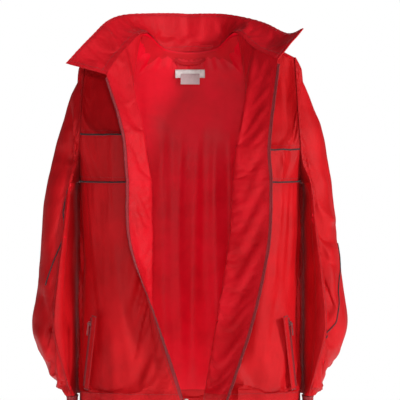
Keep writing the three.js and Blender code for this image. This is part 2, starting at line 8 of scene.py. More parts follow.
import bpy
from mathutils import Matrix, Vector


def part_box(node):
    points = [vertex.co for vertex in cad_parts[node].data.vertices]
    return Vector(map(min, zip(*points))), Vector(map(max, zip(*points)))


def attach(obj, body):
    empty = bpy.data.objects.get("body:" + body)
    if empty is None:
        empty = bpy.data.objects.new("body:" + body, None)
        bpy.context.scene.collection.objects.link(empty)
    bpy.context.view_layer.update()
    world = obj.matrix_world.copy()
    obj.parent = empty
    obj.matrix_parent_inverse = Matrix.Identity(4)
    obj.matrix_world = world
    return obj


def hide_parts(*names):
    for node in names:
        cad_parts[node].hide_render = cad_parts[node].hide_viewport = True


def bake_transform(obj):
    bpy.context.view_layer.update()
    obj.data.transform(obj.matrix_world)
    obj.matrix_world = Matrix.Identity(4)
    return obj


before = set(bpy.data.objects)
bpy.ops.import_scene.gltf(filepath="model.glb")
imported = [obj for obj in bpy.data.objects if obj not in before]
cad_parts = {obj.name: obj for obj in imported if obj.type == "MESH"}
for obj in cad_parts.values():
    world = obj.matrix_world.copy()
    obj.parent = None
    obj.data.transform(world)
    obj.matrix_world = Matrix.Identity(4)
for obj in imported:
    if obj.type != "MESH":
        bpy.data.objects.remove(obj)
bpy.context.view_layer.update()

import math

import bpy
import numpy as np
from mathutils import Vector

MM = 0.001

# ---------------------------------------------------------------- view

VIEW_MIDDLE = (20.4, -306)  # x and z at the middle of the picture
VIEW_WIDTH = 816
VIEW_DISTANCE = 5200
SENSOR = 36


def point_camera():
    lens = bpy.data.cameras.new("camera")
    lens.sensor_width = SENSOR
    lens.lens = SENSOR * VIEW_DISTANCE / VIEW_WIDTH
    lens.clip_end = 50
    camera = bpy.data.objects.new("camera", lens)
    camera.location = (VIEW_MIDDLE[0] * MM, -VIEW_DISTANCE * MM, VIEW_MIDDLE[1] * MM)
    camera.rotation_euler = (math.pi / 2, 0, 0)
    bpy.context.scene.collection.objects.link(camera)
    bpy.context.scene.camera = camera


point_camera()

# ---------------------------------------------------------------- the cut of the jacket

CHEST_HALF = 225
BACK_DEPTH = 100
FRONT_DEPTH = 142
SHOULDER = (213, 0, -15)
NECK_SIDE = (98, 12, 44)
NAPE_DEPTH = 72
ARMHOLE_DROP = 267
ARMHOLE_HALF = 70
SEAM_INSET = 13
COLLAR_HEIGHT = 80
COLLAR_LEAN = 10
SLEEVE_LENGTH = 737
SLEEVE_BULGE = 100
SLEEVE_HALF_DEPTH = 90
CUFF_HEIGHT = 50
BODY_TO_SLEEVE = 6

SIDES = {
    "left": {
        "sign": -1, "yoke": 173, "neck_in": 57, "neck_drop": 55,
        "collar": [(1, -0.03, 0.28), (0.82, -0.1, 0.22), (0.72, -0.1, 0.28), (0.2, 0.08, 0.9)],
        "roll_in": [130, 143, 147, 145, 171, 178], "roll_share": [0.78, 0.76, 0.74, 0.76, 0.88, 0.9],
        "edge_in": [94, 103, 107, 155, 202, 212], "edge_share": [0.98, 1, 1, 1, 0.88, 0.85],
    },
    "right": {
        "sign": 1, "yoke": 203, "neck_in": 48, "neck_drop": 25,
        "collar": [(0.64, 0.03, 0.77), (0.81, -0.06, 0.31), (0.65, -0.08, 0.15), (0.2, 0.08, 0.88)],
        "roll_in": [129, 135, 143, 167, 191, 196], "roll_share": [0.76, 0.72, 0.68, 0.66, 0.66, 0.66],
        "edge_in": [70, 66, 70, 101, 149, 160], "edge_share": [0.95, 1, 1, 1, 0.95, 0.94],
    },
}


def through(points, places):
    """A smooth line (centripetal Catmull-Rom) through points, at places from 0 to 1 along it."""
    points = np.asarray(points, float)
    last = len(points) - 1
    padded = np.concatenate([[2 * points[0] - points[1]], points, [2 * points[-1] - points[-2]]])
    where = np.clip(np.asarray(places, float), 0, 1) * last
    first = np.minimum(where.astype(int), last - 1)
    t = (where - first).reshape((-1,) + (1,) * (points.ndim - 1))
    a, b, c, d = (padded[first + k] for k in range(4))
    gap = lambda p, q: np.maximum(np.sqrt(np.linalg.norm(q - p, axis=-1, keepdims=True)), 1e-6)
    ab, bc, cd = gap(a, b), gap(b, c), gap(c, d)
    leave = ((b - a) / ab - (c - a) / (ab + bc) + (c - b) / bc) * bc
    reach = ((c - b) / bc - (d - b) / (bc + cd) + (d - c) / cd) * bc
    return b + leave * t + (3 * (c - b) - 2 * leave - reach) * t**2 + (2 * (b - c) + leave + reach) * t**3


def spread(counts):
    """Places along a line through len(counts) + 1 points, with counts[k] steps in its k-th span."""
    spans = len(counts)
    steps = [np.arange(count) / count + k for k, count in enumerate(counts)]
    return np.append(np.concatenate(steps), spans) / spans


def woven_grid(rows, across, down):
    """Points on the surface through rows of guide points, as (rows, columns, 3), in metres."""
    lines = np.stack([through(row, across) for row in rows])
    return through(lines, down) * MM


def neck_seam(side):
    s = side["sign"]
    front_end = (s * (CHEST_HALF - side["neck_in"]), -0.72 * FRONT_DEPTH, -side["neck_drop"])
    over_collarbone = (s * (NECK_SIDE[0] + 37), -50, 5)
    shoulder_middle = (s * (SHOULDER[0] + NECK_SIDE[0]) / 2, 4, (NECK_SIDE[2] + SHOULDER[2]) / 2)
    beside = (s * NECK_SIDE[0], *NECK_SIDE[1:])
    tip = (s * SHOULDER[0], *SHOULDER[1:])
    beside_nape = (s * NECK_SIDE[0] * 0.56, NAPE_DEPTH - 10, NECK_SIDE[2] * 0.18)
    return front_end, over_collarbone, beside, shoulder_middle, tip, beside_nape


def armhole(drop):
    """x and reach in front of or behind the shoulder plane, of the armhole's edge at this drop."""
    middle = (-SHOULDER[2] + ARMHOLE_DROP) / 2
    share = (drop - middle) / (ARMHOLE_DROP - middle)
    part = (drop + SHOULDER[2]) / (ARMHOLE_DROP + SHOULDER[2])
    x = SHOULDER[0] + (CHEST_HALF - SHOULDER[0]) * part
    return x, ARMHOLE_HALF * math.sqrt(max(0.0, 1 - share * share))


FRONT_DROPS = [267, 386.08, 541.8, 693, 725]


NECK_TUCK = np.array((0, 0, -4.0))  # how far the body goes down into the collar at the side of the neck


def front_rows(side):
    front_end, collarbone, beside, middle, tip, _ = neck_seam(side)
    beside, collarbone = beside + NECK_TUCK, collarbone + NECK_TUCK / 2
    rows = [[tip, middle, beside, collarbone, front_end]]
    for i, drop in enumerate([side["yoke"], *FRONT_DROPS]):
        x, reach = armhole(drop) if drop < ARMHOLE_DROP else (CHEST_HALF, 0)
        places = [
            (x, -reach),
            (CHEST_HALF - SEAM_INSET, min(-reach - 7, -0.42 * FRONT_DEPTH)),
            (CHEST_HALF - 70, -0.74 * FRONT_DEPTH),
            (CHEST_HALF - side["roll_in"][i], -side["roll_share"][i] * FRONT_DEPTH),
            (CHEST_HALF - side["edge_in"][i], -side["edge_share"][i] * FRONT_DEPTH),
        ]
        rows.append([(side["sign"] * x, y, -drop) for x, y in places])
    return rows


BACK_DROPS = [69.42, 176.22, 267, 496, 693, 725]
BACK_FULLNESS = [0.88, 1, 1, 1, 0.98, 0.96]


def back_rows():
    nape = (0, NAPE_DEPTH, 0)
    left, right = (neck_seam(side) for side in SIDES.values())
    beside = [seam[2] + NECK_TUCK for seam in (left, right)]
    rows = [[left[4], left[3], beside[0], left[5], nape, right[5], beside[1], right[3], right[4]]]
    for drop, full in zip(BACK_DROPS, BACK_FULLNESS):
        x, reach = armhole(drop) if drop < ARMHOLE_DROP else (CHEST_HALF, 0)
        half = [
            (x, reach),
            (CHEST_HALF - SEAM_INSET - 6, max(reach + 8, 0.55 * BACK_DEPTH * full)),
            (CHEST_HALF * 0.62, 0.88 * BACK_DEPTH * full),
            (CHEST_HALF * 0.31, 0.97 * BACK_DEPTH * full),
        ]
        left_half = [(-x, y, -drop) for x, y in half]
        right_half = [(x, y, -drop) for x, y in reversed(half)]
        rows.append([*left_half, (0, BACK_DEPTH * full, -drop), *right_half])
    return rows


COLLAR_LAP = (0, 6, 12, 5)  # how far the collar goes on below the neck seam, from its front end back


def collar_rows():
    rows = {}
    for name, side in SIDES.items():
        seam = neck_seam(side)
        bottom = np.array([seam[0], seam[1], seam[2], seam[5]], float)
        way = np.array(side["collar"]) * (side["sign"], 1, 1)
        lap = way * np.array(COLLAR_LAP)[:, None] + np.outer((0, 1, 1.6, 0.8), -NECK_TUCK)
        rows[name] = (bottom + way * COLLAR_HEIGHT, bottom - lap)
    stand = [(0, NAPE_DEPTH + COLLAR_LEAN, COLLAR_HEIGHT)], [(0, NAPE_DEPTH, 0)]
    return [np.concatenate([rows["left"][k], stand[k], rows["right"][k][::-1]]) for k in (0, 1)]


SLEEVE_SEAM = [0, 0, 0, 0, 1, 4, 18, 28, 38, 44, 30, 15]
SLEEVE_OUT = [-0.12, 0.09, 0.24, 0.4, 0.53, 0.6, 0.68, 0.8, 0.9, 1, 0.68, 0.27]
SLEEVE_DEPTH = [0.04, 0.64, 0.79, 0.84, 0.81, 0.74, 0.8, 0.87, 0.94, 1, 0.86, 0.58]
BESIDE_ARMHOLE = [0, 0.17, 0.31, 0.5, 0.7, 0.87]
BELOW_ARMHOLE = [0, 0.22, 0.44, 0.68, 0.85, 1]


def sleeve_rows(sign, outside, first=0):
    """Rows from the back seam to the front seam, over the outer side of the arm or its inner side."""
    top, bottom = -SHOULDER[2], -SHOULDER[2] + SLEEVE_LENGTH - CUFF_HEIGHT
    drops = [top + share * (ARMHOLE_DROP - top) for share in BESIDE_ARMHOLE]
    drops += [ARMHOLE_DROP + 5 + share * (bottom - ARMHOLE_DROP - 5) for share in BELOW_ARMHOLE]
    start = CHEST_HALF + BODY_TO_SLEEVE / 2
    rows = []
    for drop, seam, out, depth in zip(drops, SLEEVE_SEAM, SLEEVE_OUT, SLEEVE_DEPTH):
        seam_x = seam + (armhole(drop)[0] + 1.5 if drop < ARMHOLE_DROP else start)
        reach = start + out * SLEEVE_BULGE if outside else CHEST_HALF + BODY_TO_SLEEVE
        turns = np.radians(np.arange(-90, 91, 30))
        x = seam_x + (reach - seam_x) * np.cos(turns)
        y = -depth * SLEEVE_HALF_DEPTH * np.sin(turns)
        rows.append(np.stack([sign * x, y, np.full(len(turns), -drop)], 1))
    return rows[first:]


# ---------------------------------------------------------------- cloth

def facing_out(grid, sign=1):
    """The way out of the cloth at every point of a grid."""
    out = np.cross(np.gradient(grid, axis=1), np.gradient(grid, axis=0))
    return sign * out / np.maximum(np.linalg.norm(out, axis=2, keepdims=True), 1e-12)


def smooth(t):
    t = np.clip(t, 0, 1)
    return t * t * (3 - 2 * t)


def rumple(x, z, size_x, size_z, seed):
    """Soft noise from -1 to 1, with bumps of the sizes given."""
    grid = np.random.default_rng(seed).uniform(-1, 1, (64, 64))
    u, v = x / size_x + 31, z / size_z + 31
    i, j = np.floor(u).astype(int), np.floor(v).astype(int)
    s, t = smooth(u - i), smooth(v - j)
    pick = lambda a, b: grid[(i + a) % 64, (j + b) % 64]
    return (pick(0, 0) * (1 - s) + pick(1, 0) * s) * (1 - t) + (pick(0, 1) * (1 - s) + pick(1, 1) * s) * t


def fold_height(x, z, folds):
    """How far the folds raise the cloth at x, z. A fold is (x, z), (x, z), its half width and its
    height, and a bow that bends it sideways. A height under 0 is a valley."""
    rise = np.zeros_like(x)
    for (x0, z0), (x1, z1), width, height, *bow in folds:
        dx, dz = x1 - x0, z1 - z0
        length = math.hypot(dx, dz)
        t = ((x - x0) * dx + (z - z0) * dz) / length**2
        aside = ((x - x0) * dz - (z - z0) * dx) / length
        aside = aside - (bow[0] if bow else 0) * 4 * t * (1 - t)
        ends = smooth(t / 0.3 + 0.35) * smooth((1 - t) / 0.3 + 0.35)
        rise += height * ends / (1 + (aside / width) ** 2) ** 1.5
    return rise


def raised(grid, rise, sign=1):
    """The grid with every point moved out of the cloth by rise, in millimetres."""
    return grid + facing_out(grid, sign) * (rise * MM)[..., None]


CLOTH_STEPS = 22
CLOTH_LIMIT = 9 * MM


def settled(grid, hold, spare, gravity=1.0, stiffness=0.4):
    """The grid after a cloth simulation. hold (0 to 1) says how firmly each point keeps its place, and
    spare is the share by which the cloth is longer than its place, so that it buckles into folds."""
    mesh = grid_mesh("settling", grid)
    piece = bpy.data.objects.new("settling", mesh)
    bpy.context.scene.collection.objects.link(piece)
    group = piece.vertex_groups.new(name="hold")
    for level in np.unique(np.round(hold, 2)):
        chosen = np.flatnonzero(np.round(hold.ravel(), 2) == level)
        group.add(chosen.tolist(), float(level), "REPLACE")
    cloth = piece.modifiers.new("cloth", "CLOTH")
    settings = cloth.settings
    settings.quality = 6
    settings.mass = 0.12
    settings.tension_stiffness = settings.compression_stiffness = 12
    settings.shear_stiffness = 4
    settings.bending_stiffness = stiffness
    settings.air_damping = 3
    settings.vertex_group_mass = "hold"
    settings.pin_stiffness = 0.6
    settings.shrink_min = settings.shrink_max = -spare
    settings.effector_weights.gravity = gravity
    cloth.collision_settings.use_collision = False
    scene = bpy.context.scene
    cloth.point_cache.frame_start, cloth.point_cache.frame_end = 1, CLOTH_STEPS
    for step in range(1, CLOTH_STEPS + 1):
        scene.frame_set(step)
    shaped = piece.evaluated_get(bpy.context.evaluated_depsgraph_get()).data
    after = np.empty(len(shaped.vertices) * 3)
    shaped.vertices.foreach_get("co", after)
    bpy.data.objects.remove(piece)
    bpy.data.meshes.remove(mesh)
    scene.frame_set(1)
    move = after.reshape(grid.shape) - grid
    far = np.linalg.norm(move, axis=2, keepdims=True)
    return grid + move * np.minimum(1, CLOTH_LIMIT / np.maximum(far, 1e-9))


# ---------------------------------------------------------------- meshes

def quads(rows, columns, start=0, flip=False):
    at = start + np.arange(rows * columns).reshape(rows, columns)
    a, b, c, d = at[:-1, :-1], at[1:, :-1], at[1:, 1:], at[:-1, 1:]
    corners = (a, d, c, b) if flip else (a, b, c, d)
    return np.stack([corner.ravel() for corner in corners], 1)


def new_mesh(name, points, faces, sharp=35):
    mesh = bpy.data.meshes.new(name)
    mesh.from_pydata(np.asarray(points).reshape(-1, 3).tolist(), [], np.asarray(faces).tolist())
    mesh.update()
    mesh.shade_smooth()
    if sharp:
        mesh.set_sharp_from_angle(angle=math.radians(sharp))
    return mesh


def grid_mesh(name, grid):
    return new_mesh(name, grid, quads(*grid.shape[:2]), sharp=0)


def lengths_over(grid):
    """How far each point of a grid is along its row and down its column, over the cloth, in metres."""
    step = lambda axis: np.linalg.norm(np.diff(grid, axis=axis), axis=2)
    across = np.pad(np.cumsum(step(1), axis=1), ((0, 0), (1, 0)))
    down = np.pad(np.cumsum(step(0), axis=0), ((1, 0), (0, 0)))
    return across, down


def closed_cloth(upper, lower, seams=()):
    """A closed sheet between two grids, with its own measure over the cloth as UVs and, as the
    attribute seam, how near each point is to the sewn edges that seams names (top, bottom, start, end)."""
    rows, columns = upper.shape[:2]
    count = rows * columns
    at = np.arange(count).reshape(rows, columns)
    loop = np.concatenate([at[0, :-1], at[:-1, -1], at[-1, :0:-1], at[:0:-1, 0]])
    after = np.roll(loop, -1)
    rim = np.stack([loop, after, after + count, loop + count], 1)
    faces = np.concatenate([quads(rows, columns), quads(rows, columns, count, flip=True), rim])
    points = np.concatenate([upper.reshape(-1, 3), lower.reshape(-1, 3)])
    a, b, c, d = (points[faces[:, k]] for k in range(4))
    if np.einsum("ij,ij", a, np.cross(b, c) + np.cross(c, d)) < 0:
        faces = faces[:, ::-1]
    mesh = new_mesh("cloth", points, faces)
    across, down = lengths_over(upper)
    measured(mesh, np.tile(np.stack([across.ravel(), down.ravel()], 1), (2, 1)))
    far = {
        "top": down - down[:1], "bottom": down[-1:] - down,
        "start": across - across[:, :1], "end": across[:, -1:] - across,
    }
    near = np.min([far[seam] for seam in seams], axis=0) if seams else np.full((rows, columns), 1.0)
    near = np.exp(-near / (9 * MM)).ravel()
    seam = mesh.attributes.new("seam", "FLOAT", "POINT")
    seam.data.foreach_set("value", np.tile(near, 2).astype(np.float32))
    return mesh


def measured(mesh, uv):
    """Gives a mesh the UV map cloth: one place in metres for each of its points."""
    corners = np.empty(len(mesh.loops), int)
    mesh.loops.foreach_get("vertex_index", corners)
    mesh.uv_layers.new(name="cloth").data.foreach_set("uv", uv[corners].ravel().astype(np.float32))


PIECES = {}


def shown(name, mesh, finish, body=None, bend=None, stands_for=()):
    """Puts a mesh in the scene with its finish, on the body it rides on or, when a bend is given, with its
    place baked into the mesh and on no body.
    """
    mesh.name = name
    piece = bpy.data.objects.new(name, mesh)
    bpy.context.scene.collection.objects.link(piece)
    mesh.materials.clear()
    mesh.materials.append(finish)
    if bend:
        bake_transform(piece)
    else:
        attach(piece, body)
    if stands_for:
        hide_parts(*stands_for)
    PIECES[name] = piece
    return piece


def sewn(node, mesh, finish, **place):
    """A cloth piece that stands for the CAD node of the same name."""
    return shown(f"{node}_cloth", mesh, finish, stands_for=[node], **place)


def tube(points, radius, sides=8):
    """A closed tube along points, with UVs that run along it and round it in metres."""
    points = np.asarray(points, float)
    ways = np.gradient(points, axis=0)
    ways /= np.linalg.norm(ways, axis=1, keepdims=True)
    up = np.array([0.0, 0.0, 1.0]) if abs(ways[0][2]) < 0.9 else np.array([0.0, 1.0, 0.0])
    rings = []
    for point, way in zip(points, ways):
        side = np.cross(way, up)
        side /= np.linalg.norm(side)
        up = np.cross(side, way)
        turns = np.arange(sides) * 2 * math.pi / sides
        rings.append(point + radius * (np.cos(turns)[:, None] * side + np.sin(turns)[:, None] * up))
    count = len(points)
    at = np.arange(count * sides).reshape(count, sides)
    a, b = at[:-1], at[1:]
    faces = np.stack([a, np.roll(a, -1, 1), np.roll(b, -1, 1), b], 2).reshape(-1, 4).tolist()
    faces += [at[0, ::-1].tolist(), at[-1].tolist()]
    mesh = bpy.data.meshes.new("tube")
    mesh.from_pydata(np.concatenate(rings).tolist(), [], faces)
    mesh.update()
    mesh.shade_smooth()
    run = np.concatenate([[0], np.cumsum(np.linalg.norm(np.diff(points, axis=0), axis=1))])
    around = np.arange(sides) * 2 * math.pi / sides * radius
    uv = np.stack(np.broadcast_arrays(run[:, None], around[None]), 2)
    measured(mesh, uv.reshape(-1, 2))
    return mesh


# ---------------------------------------------------------------- finishes

def linear(colour):
    """A hex sRGB colour as linear RGBA."""
    parts = [int(colour[k:k + 2], 16) / 255 for k in (1, 3, 5)]
    return tuple(c / 12.92 if c <= 0.04045 else ((c + 0.055) / 1.055) ** 2.4 for c in parts) + (1.0,)


def add(tree, kind, inputs=None, **settings):
    """A node: settings are its properties, and inputs give its sockets values or what feeds them."""
    made = tree.nodes.new(kind)
    for name, value in settings.items():
        setattr(made, name, value)
    for key, value in (inputs or {}).items():
        if isinstance(value, bpy.types.NodeSocket):
            tree.links.new(value, made.inputs[key])
        else:
            made.inputs[key].default_value = value
    return made


def finish(name, settings):
    """A new material with its shader's constant sockets set, and its node tree."""
    made = bpy.data.materials.new(name)
    made.use_nodes = True
    tree = made.node_tree
    shader = tree.nodes["Principled BSDF"]
    for socket, value in settings.items():
        shader.inputs[socket].default_value = value
    return made, tree, shader


CLOUD_SIZE = 60  # of the patches where the colour and the gloss change a little
EDGE_SPOT_SIZE = 6  # of the spots along a seam where the edge tone shows: partly wear and partly painted shade in the seam's groove
PUCKER_SIZE, PUCKER_HEIGHT = 5, 1.6  # of the gathers that a line of stitches draws up


def cloth_finish(name, colours, weave, crinkle, sewn_edge_tone, rough, bump, settings):
    """Woven cloth. colours are its deep, middle and high tones, weave the thread spacing and how much
    it shows, crinkle the size and height of its small creases, and sewn_edge_tone the tone of its sewn
    edges, which on the red cloths is a darker red: partly wear and partly painted shade in the seam's groove."""
    made, tree, shader = finish(name, settings)
    measure = add(tree, "ShaderNodeUVMap", uv_map="cloth").outputs["UV"]
    place = add(tree, "ShaderNodeTexCoord").outputs["Object"]
    deep, middle, high = (linear(colour) for colour in colours)
    cloudy = add(tree, "ShaderNodeTexNoise", {
        "Vector": place, "Scale": 1 / (CLOUD_SIZE * MM), "Detail": 3, "Roughness": 0.55,
    })
    tones = add(tree, "ShaderNodeValToRGB", {"Fac": cloudy.outputs["Fac"]})
    ramp = tones.color_ramp.elements
    ramp[0].position, ramp[0].color = 0.3, deep
    ramp[1].position, ramp[1].color = 0.72, high
    ramp.new(0.5).color = middle
    threads = []
    for direction in ("X", "Y"):
        threads.append(add(tree, "ShaderNodeTexWave", {
            "Vector": measure, "Scale": 1 / (weave[0] * MM) / 2,
            "Distortion": 0.6, "Detail": 1, "Detail Scale": 0.6,
        }, wave_type="BANDS", bands_direction=direction, wave_profile="SIN").outputs["Fac"])
    woven = add(tree, "ShaderNodeMath", {0: threads[0], 1: threads[1]}, operation="MULTIPLY").outputs[0]
    between_threads = add(tree, "ShaderNodeMapRange", {
        "Value": woven, "From Min": 0.0, "From Max": 0.7, "To Min": weave[1], "To Max": 0,
    })
    shade = add(tree, "ShaderNodeMix", {
        "Factor": between_threads.outputs["Result"], 6: tones.outputs["Color"], 7: deep,
    }, data_type="RGBA")
    seam = add(tree, "ShaderNodeAttribute", attribute_name="seam").outputs["Fac"]
    edge_spots = add(tree, "ShaderNodeTexNoise", {"Vector": place, "Scale": 1 / (EDGE_SPOT_SIZE * MM), "Detail": 2})
    edge_mark = add(tree, "ShaderNodeMath", {0: seam, 1: edge_spots.outputs["Fac"]}, operation="MULTIPLY").outputs[0]
    # In spots along sewn edges the colour goes to the edge tone. On the red cloths that darker red is partly
    # wear and partly painted shade in the seam's groove.
    edge_toned = add(tree, "ShaderNodeMix", {
        "Factor": edge_mark, 6: shade.outputs[2], 7: linear(sewn_edge_tone),
    }, data_type="RGBA")
    tree.links.new(edge_toned.outputs[2], shader.inputs["Base Color"])
    gloss = add(tree, "ShaderNodeMapRange", {
        "Value": cloudy.outputs["Fac"], "From Min": 0.3, "From Max": 0.7,
        "To Min": rough[0], "To Max": rough[1],
    })
    tree.links.new(gloss.outputs["Result"], shader.inputs["Roughness"])
    stretch = add(tree, "ShaderNodeMapping", {"Vector": measure, "Scale": (1, crinkle[2], 1)})
    creases = add(tree, "ShaderNodeTexNoise", {
        "Vector": stretch.outputs["Vector"], "Scale": 1 / (crinkle[0] * MM),
        "Detail": 4, "Roughness": 0.6, "Distortion": 0.9,
    })
    pucker = add(tree, "ShaderNodeTexNoise", {
        "Vector": measure, "Scale": 1 / (PUCKER_SIZE * MM), "Detail": 1,
    })
    sewn = add(tree, "ShaderNodeMath", {0: pucker.outputs["Fac"], 1: seam}, operation="MULTIPLY").outputs[0]
    raised_by = [(crinkle[1], creases.outputs["Fac"]), (PUCKER_HEIGHT, sewn), (bump, woven)]
    below = {}
    for height, pattern in raised_by:
        surface = add(tree, "ShaderNodeBump", {
            "Strength": 1, "Distance": height * MM, "Height": pattern, **below,
        }).outputs["Normal"]
        below = {"Normal": surface}
    tree.links.new(surface, shader.inputs["Normal"])
    return made


# The little gloss that the shell's nylon keeps after its years of wear.
NYLON_GLOSS = {
    "IOR": 1.45, "Specular IOR Level": 0.22,
    "Sheen Weight": 0.07, "Sheen Roughness": 0.4, "Sheen Tint": (1, 0.25, 0.25, 1),
}
# Nylon taffeta, plain woven and calendered: smooth, half matt and deep red, with soft creases. The
# threads are 0.2 mm apart and drawn 1 mm apart to show.
TAFFETA = cloth_finish(
    "nylon_taffeta", ("#b2040d", "#c00712", "#cc0a16"),
    (1.0, 0.12), (34, 0.9, 0.6), "#a4060e", (0.5, 0.62), 0.05,
    NYLON_GLOSS,
)
# The same taffeta on the inside of the edges and the nape, less rubbed, brighter and more creased.
FACING_TAFFETA = cloth_finish(
    "facing_taffeta", ("#bc0514", "#cc081a", "#d80c20"),
    (1.0, 0.1), (26, 0.9, 1.0), "#b20616", (0.5, 0.62), 0.05,
    NYLON_GLOSS,
)
# Polyester satin, woven with long floats: bright red, slippery and smooth, with fine streaks down it.
# Its colours are painted brighter still: painted light that stands for light shining in through the thin
# shell.
SATIN = cloth_finish(
    "polyester_satin", ("#d4001c", "#e30020", "#ee0428"),
    (0.8, 0.08), (40, 0.8, 0.25), "#c00020", (0.4, 0.52), 0.03,
    {
        "IOR": 1.45, "Specular IOR Level": 0.22, "Anisotropic": 0.4,
        "Sheen Weight": 0.06, "Sheen Roughness": 0.3, "Sheen Tint": (1, 0.3, 0.35, 1),
    },
)
# Cuffs of the same nylon, gathered over elastic: dull, ribbed by the gathers and a little worn.
CUFF_NYLON = cloth_finish(
    "gathered_cuff_nylon", ("#7c0a14", "#930f1a", "#a01622"),
    (1.0, 0.18), (5, 1.8, 0.2), "#6a0810", (0.5, 0.65), 0.06,
    {"IOR": 1.5, "Sheen Weight": 0.3, "Sheen Roughness": 0.5, "Sheen Tint": (1, 0.6, 0.6, 1)},
)
# Piping: a cord in a woven bias strip, nearly black, dull, with its slanting threads 1.2 mm apart.
PIPING = cloth_finish(
    "woven_piping", ("#0a0710", "#120d18", "#1c1624"),
    (1.2, 0.5), (3, 0.3, 1.0), "#241a20", (0.6, 0.75), 0.12,
    {"IOR": 1.45, "Sheen Weight": 0.2, "Sheen Roughness": 0.5},
)
# Knitted zip tape: a matt ribbed band in the jacket's own red.
TAPE = cloth_finish(
    "knitted_zip_tape", ("#8d0c18", "#a01120", "#ac1828"),
    (0.9, 0.4), (4, 0.3, 1.0), "#7a0a14", (0.6, 0.75), 0.15,
    {"IOR": 1.45, "Sheen Weight": 0.25, "Sheen Roughness": 0.5},
)
# Woven damask label: off white, satin faced, with close ribs across it.
LABEL = cloth_finish(
    "damask_label", ("#f4efec", "#faf7f4", "#fffdfb"),
    (0.9, 0.22), (12, 0.6, 1.0), "#b5a09e", (0.45, 0.6), 0.08,
    {"IOR": 1.5, "Sheen Weight": 0.2, "Sheen Roughness": 0.3},
)
# Printed nylon care label: thinner, greyish pink where the red shows through it.
CARE_LABEL = cloth_finish(
    "care_label_nylon", ("#c9aeb0", "#d8c1c2", "#e2cfcf"),
    (0.9, 0.15), (10, 0.6, 1.0), "#8f6a6e", (0.45, 0.6), 0.05,
    {"IOR": 1.5, "Sheen Weight": 0.15, "Sheen Roughness": 0.3},
)


def plain_finish(name, colours, grain, rough, bump, settings, drawn=(1, 1, 1)):
    """A hard finish or a thread: mottled between two tones, with a grain that bump raises."""
    made, tree, shader = finish(name, settings)
    place = add(tree, "ShaderNodeTexCoord").outputs["Object"]
    along = add(tree, "ShaderNodeMapping", {"Vector": place, "Scale": drawn})
    grains = add(tree, "ShaderNodeTexNoise", {
        "Vector": along.outputs["Vector"], "Scale": 1 / (grain * MM), "Detail": 4,
    }).outputs["Fac"]
    tone = add(tree, "ShaderNodeMix", {
        "Factor": grains, 6: linear(colours[0]), 7: linear(colours[1]),
    }, data_type="RGBA")
    tree.links.new(tone.outputs[2], shader.inputs["Base Color"])
    gloss = add(tree, "ShaderNodeMapRange", {"Value": grains, "To Min": rough[0], "To Max": rough[1]})
    tree.links.new(gloss.outputs["Result"], shader.inputs["Roughness"])
    raised_grain = add(tree, "ShaderNodeBump", {"Strength": 1, "Distance": bump * MM, "Height": grains})
    tree.links.new(raised_grain.outputs["Normal"], shader.inputs["Normal"])
    return made


# Zinc alloy, die cast, tumbled and nickel plated: silver grey, soft edged, finely scratched.
NICKEL = plain_finish("nickel_plated_zinc", ("#a9a9ad", "#c9c8c6"), 1.2, (0.22, 0.4), 0.03, {"Metallic": 1.0})
# Polyester sewing thread in the jacket's red: a dull twisted strand, a shade darker than the cloth.
THREAD = plain_finish(
    "polyester_thread", ("#6d0710", "#96121f"), 0.8, (0.5, 0.65), 0.1, {"IOR": 1.45, "Sheen Weight": 0.3},
)
# Moulded polyester zip coil: smooth dark red plastic.
COIL = plain_finish("moulded_zip_coil", ("#6e0a12", "#8c1420"), 0.9, (0.35, 0.5), 0.03, {"IOR": 1.55})


# ---------------------------------------------------------------- the draped surfaces

FRONT_ACROSS = spread([16, 20, 17, 15])  # side seam, side, breast, roll, edge
FRONT_ABOVE = spread([46, 23])  # shoulder, upper chest seam, lower chest seam
FRONT_BELOW = spread([30, 39, 38, 8])
YOKE_ROW, CHEST_ROW, HEM_ROW = 46, 69, 176
FACING_COLUMN = 51
BACK_ACROSS = spread([14, 17, 17, 17, 17, 17, 17, 14])
BACK_ABOVE = spread([23, 26, 23])
BACK_BELOW = spread([50, 46, 8])
BACK_CHEST_ROW, BACK_HEM_ROW = 72, 168
SLEEVE_ACROSS = spread([11] * 6)
SLEEVE_DOWN = spread([9, 9, 11, 12, 11, 10, 22, 22, 24, 17, 15])
UNDER_DOWN = spread([22, 22, 24, 17, 15])
ARMPIT_ROW = 62
COLLAR_ACROSS = spread([20, 18, 16, 14, 14, 16, 18, 20])
COLLAR_DOWN = spread([22])

# Folds of the fronts and sleeves: from, to, half width, height, bow. They hang from the shoulders.
FRONT_FOLDS = {
    "left": [
        ((-196, -60), (-188, -165), 11, 3.0), ((-176, -80), (-172, -250), 12, -2.4),
        ((-190, -262), (-194, -400), 13, 4.5), ((-210, -275), (-206, -450), 10, -4.5),
        ((-165, -270), (-154, -420), 14, 3.5), ((-171, -400), (-188, -600), 13, -5.0, 6),
        ((-151, -396), (-118, -655), 17, 6.0), ((-140, -330), (-92, -560), 10, -4.5),
        ((-212, -470), (-212, -700), 10, 4.0), ((-196, -560), (-178, -720), 11, -3.5),
        ((-160, -560), (-150, -720), 16, 5.0), ((-104, -610), (-84, -720), 10, -3.0),
    ],
    "right": [
        ((186, -40), (190, -190), 9, 3.5), ((204, -60), (206, -260), 8, -3.0),
        ((188, -210), (182, -268), 7, 4.0), ((172, -200), (170, -270), 7, -3.0),
        ((186, -285), (168, -480), 9, 6.0), ((202, -290), (204, -520), 8, -6.0, 5),
        ((160, -400), (128, -640), 13, 5.0), ((178, -470), (160, -640), 10, -5.0),
        ((196, -560), (176, -720), 9, 4.0), ((146, -560), (126, -720), 10, -3.0),
        ((112, -620), (98, -720), 10, 3.5),
    ],
}
